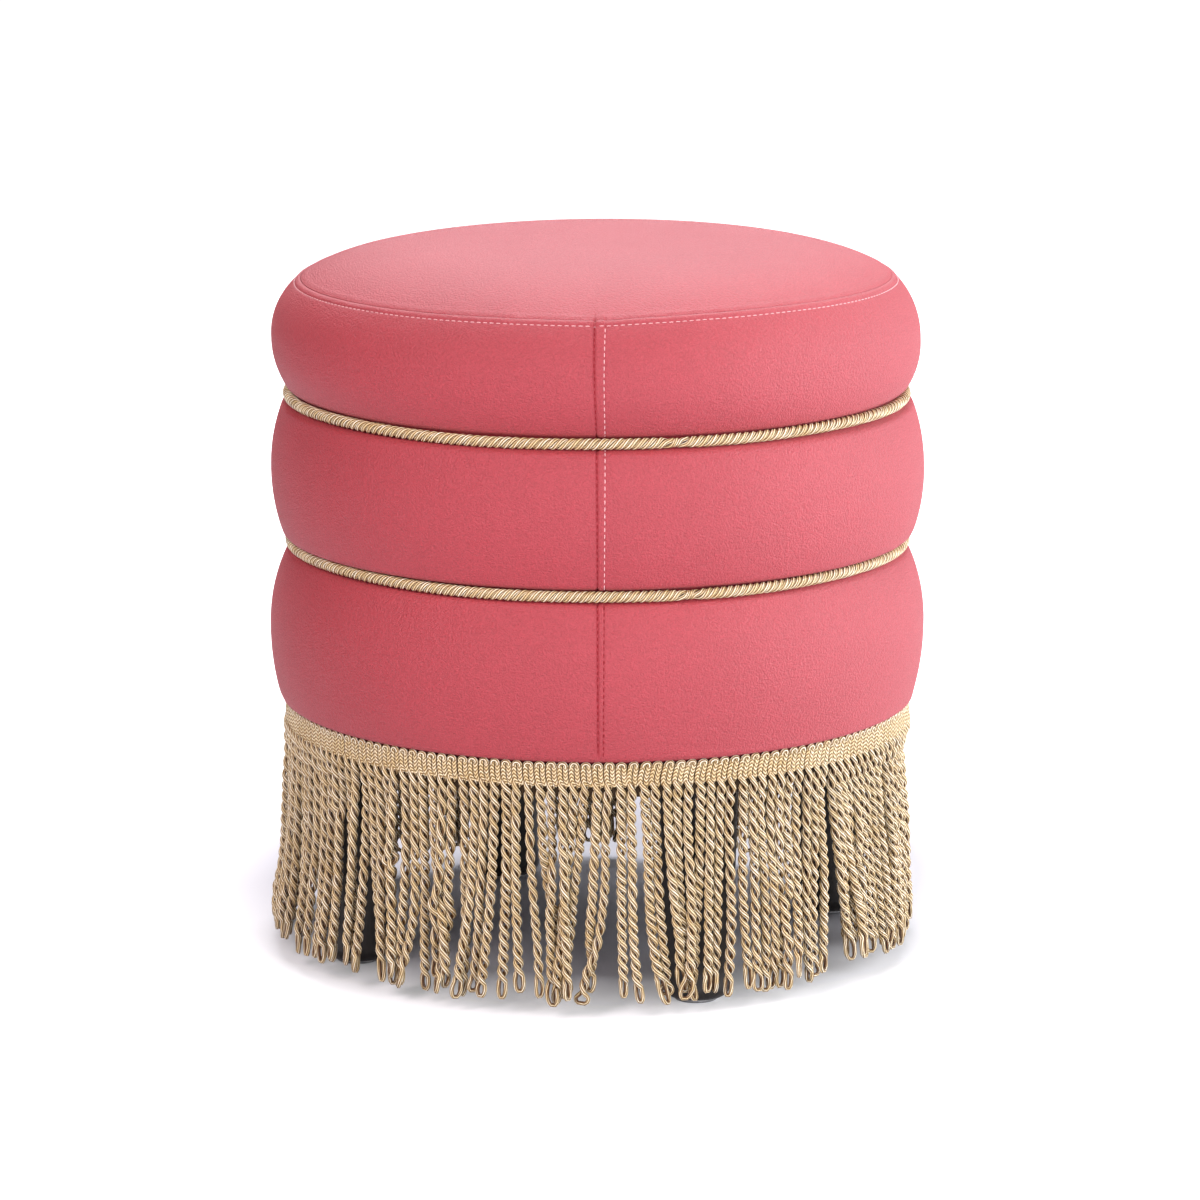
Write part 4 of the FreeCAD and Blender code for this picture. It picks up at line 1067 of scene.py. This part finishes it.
def turnedSoft(name, node, line, finish, wave):
    # a turned soft ring or pad: its outline in mm is carried round Z with a slow swell; an
    # outline that starts and ends on the axis is closed by poles, any other by its own first row
    line = np.array(line, float)
    poles = line[0, 0] < 1.5
    theta = np.arange(160) * turn / 160
    r, z = line[:, :1], line[:, 1:]
    swell = wave * np.sin(4 * theta + z / 19) * np.sin(3 * theta - z / 31)
    reach = r + swell * np.minimum(r / 60, 1)
    grid = onRing(reach, theta, z)[None] * mm
    piece = gridPiece(name, grid, None, finish, [node], closedRows=not poles)


padding = {
    "lower": (166.5, 260.7), "middle": (273.3, 355.7), "upper": (368.3, 430.7),
    "waddingOut": 3.5, "waddingIn": 5.9, "foam": 6.3,     # below the cover's outside
    "skin": 180.4, "seatBottom": 397.5, "seat": 189.0, "seatTop": 450.2, "overTop": 454.4,
}


def rollPieces():
    # wadding over foam in every roll, and a domed cushion with its wadding on the seat board
    def under(z, gap):
        return np.stack([rollRadius(z) - padding[gap], z], -1)

    for name in ("lower", "middle", "upper"):
        z = np.linspace(*padding[name], 22)
        line = np.concatenate([under(z, "waddingOut"), under(z, "waddingIn")[::-1]])
        turnedSoft(f"soft_{name}_wadding", f"{name}_roll_wadding", line, "wadding", 0.15)
        z = z[z <= padding["seatBottom"]] if name == "upper" else z
        line = [*under(z, "foam"), (padding["skin"], z[-1]), (padding["skin"], z[0])]
        turnedSoft(f"soft_{name}_foam", f"{name}_roll_foam", line, "foam", 0.1)
    share = np.linspace(0.006, 1, 40)
    r = padding["seat"] * share
    dome = padding["seatTop"] - 15.9 * share ** 4.5 - 3.4 * share ** 2
    side = under(np.linspace(430.0, 398.0, 12), "foam")
    line = [*zip(r, dome), *side, *zip(r[::-4], 0 * r[::-4] + padding["seatBottom"] + 0.2)]
    turnedSoft("soft_seat_foam", "seat_foam", line, "foam", 0.1)
    over = padding["overTop"] - 16.5 * share ** 4.7 - 3.2 * share ** 2
    line = [*zip(r, dome + 0.5), (191.5, 431.2), (193.4, 432.4), *zip(r[::-1], over[::-1])]
    turnedSoft("soft_seat_wadding", "seat_wadding", line, "wadding", 0.1)


rollPieces()


# dust cover

dust = {"radius": 189.0, "high": 139.4, "thick": 0.7, "leg": 27.2, "legRing": 166.6,
        "firstLeg": 291.9, "sag": 0.9}


def dustCover():
    # a disc of cloth with a bite cut round each leg; the middle sags a little between staples
    legs = np.radians(dust["firstLeg"] + 90 * np.arange(4))
    half = math.asin(dust["leg"] / dust["legRing"])
    base = np.arange(240) * turn / 240
    cuts = np.concatenate([leg + np.concatenate([np.linspace(-half, half, 41) * 0.9999,
                           [-half - 1e-4, half + 1e-4]]) for leg in legs]) % turn
    theta = np.unique(np.concatenate([base, cuts]))
    off = np.min(np.abs((theta[:, None] - legs + math.pi) % turn - math.pi), 1)
    ring, bite = dust["legRing"], dust["leg"]
    inside = off < half
    near = ring * np.cos(off) - np.sqrt(np.maximum(bite ** 2 - (ring * np.sin(off)) ** 2, 0))
    reach = np.where(inside, near, dust["radius"])
    share = np.concatenate([np.linspace(0.01, 0.97, 26), [1.0]])
    r = share[:, None] * reach
    wrinkle = 0.18 * np.sin(8 * theta + 1) * share[:, None] ** 3 + 0.1 * np.sin(21 * theta) \
        * share[:, None] ** 6
    z = dust["high"] - dust["thick"] / 2 - dust["sag"] * (1 - share[:, None] ** 2) + wrinkle * 0.6
    low = onRing(r, theta, z)
    high = low[::-1] + np.array([0, 0, dust["thick"]])
    grid = np.concatenate([low, high])[None] * mm
    piece = gridPiece("dust_cloth_bottom", grid, None, "dust_cloth", ["dust_cover"])


dustCover()


# CAD nodes that stay

slotWords = {   # finish by the start of a node's name, the first that fits
    "leg_": "black_lacquer", "glide_": "nickel_steel", "hanger_bolt": "zinc_steel",
    "t_nut": "zinc_steel", "cover_staples": "zinc_steel", "dust_cover_staples": "zinc_steel",
    "frame_screws": "zinc_steel", "upright_": "pine", "drum_skin": "fibreboard",
}
for name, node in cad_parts.items():
    if not node.hide_render:
        fits = [finish for word, finish in slotWords.items() if name.startswith(word)]
        node.data.materials.clear()
        node.data.materials.append(materials[(fits + ["plywood"])[0]])
        print("kept from the CAD:", name, (fits + ["plywood"])[0])
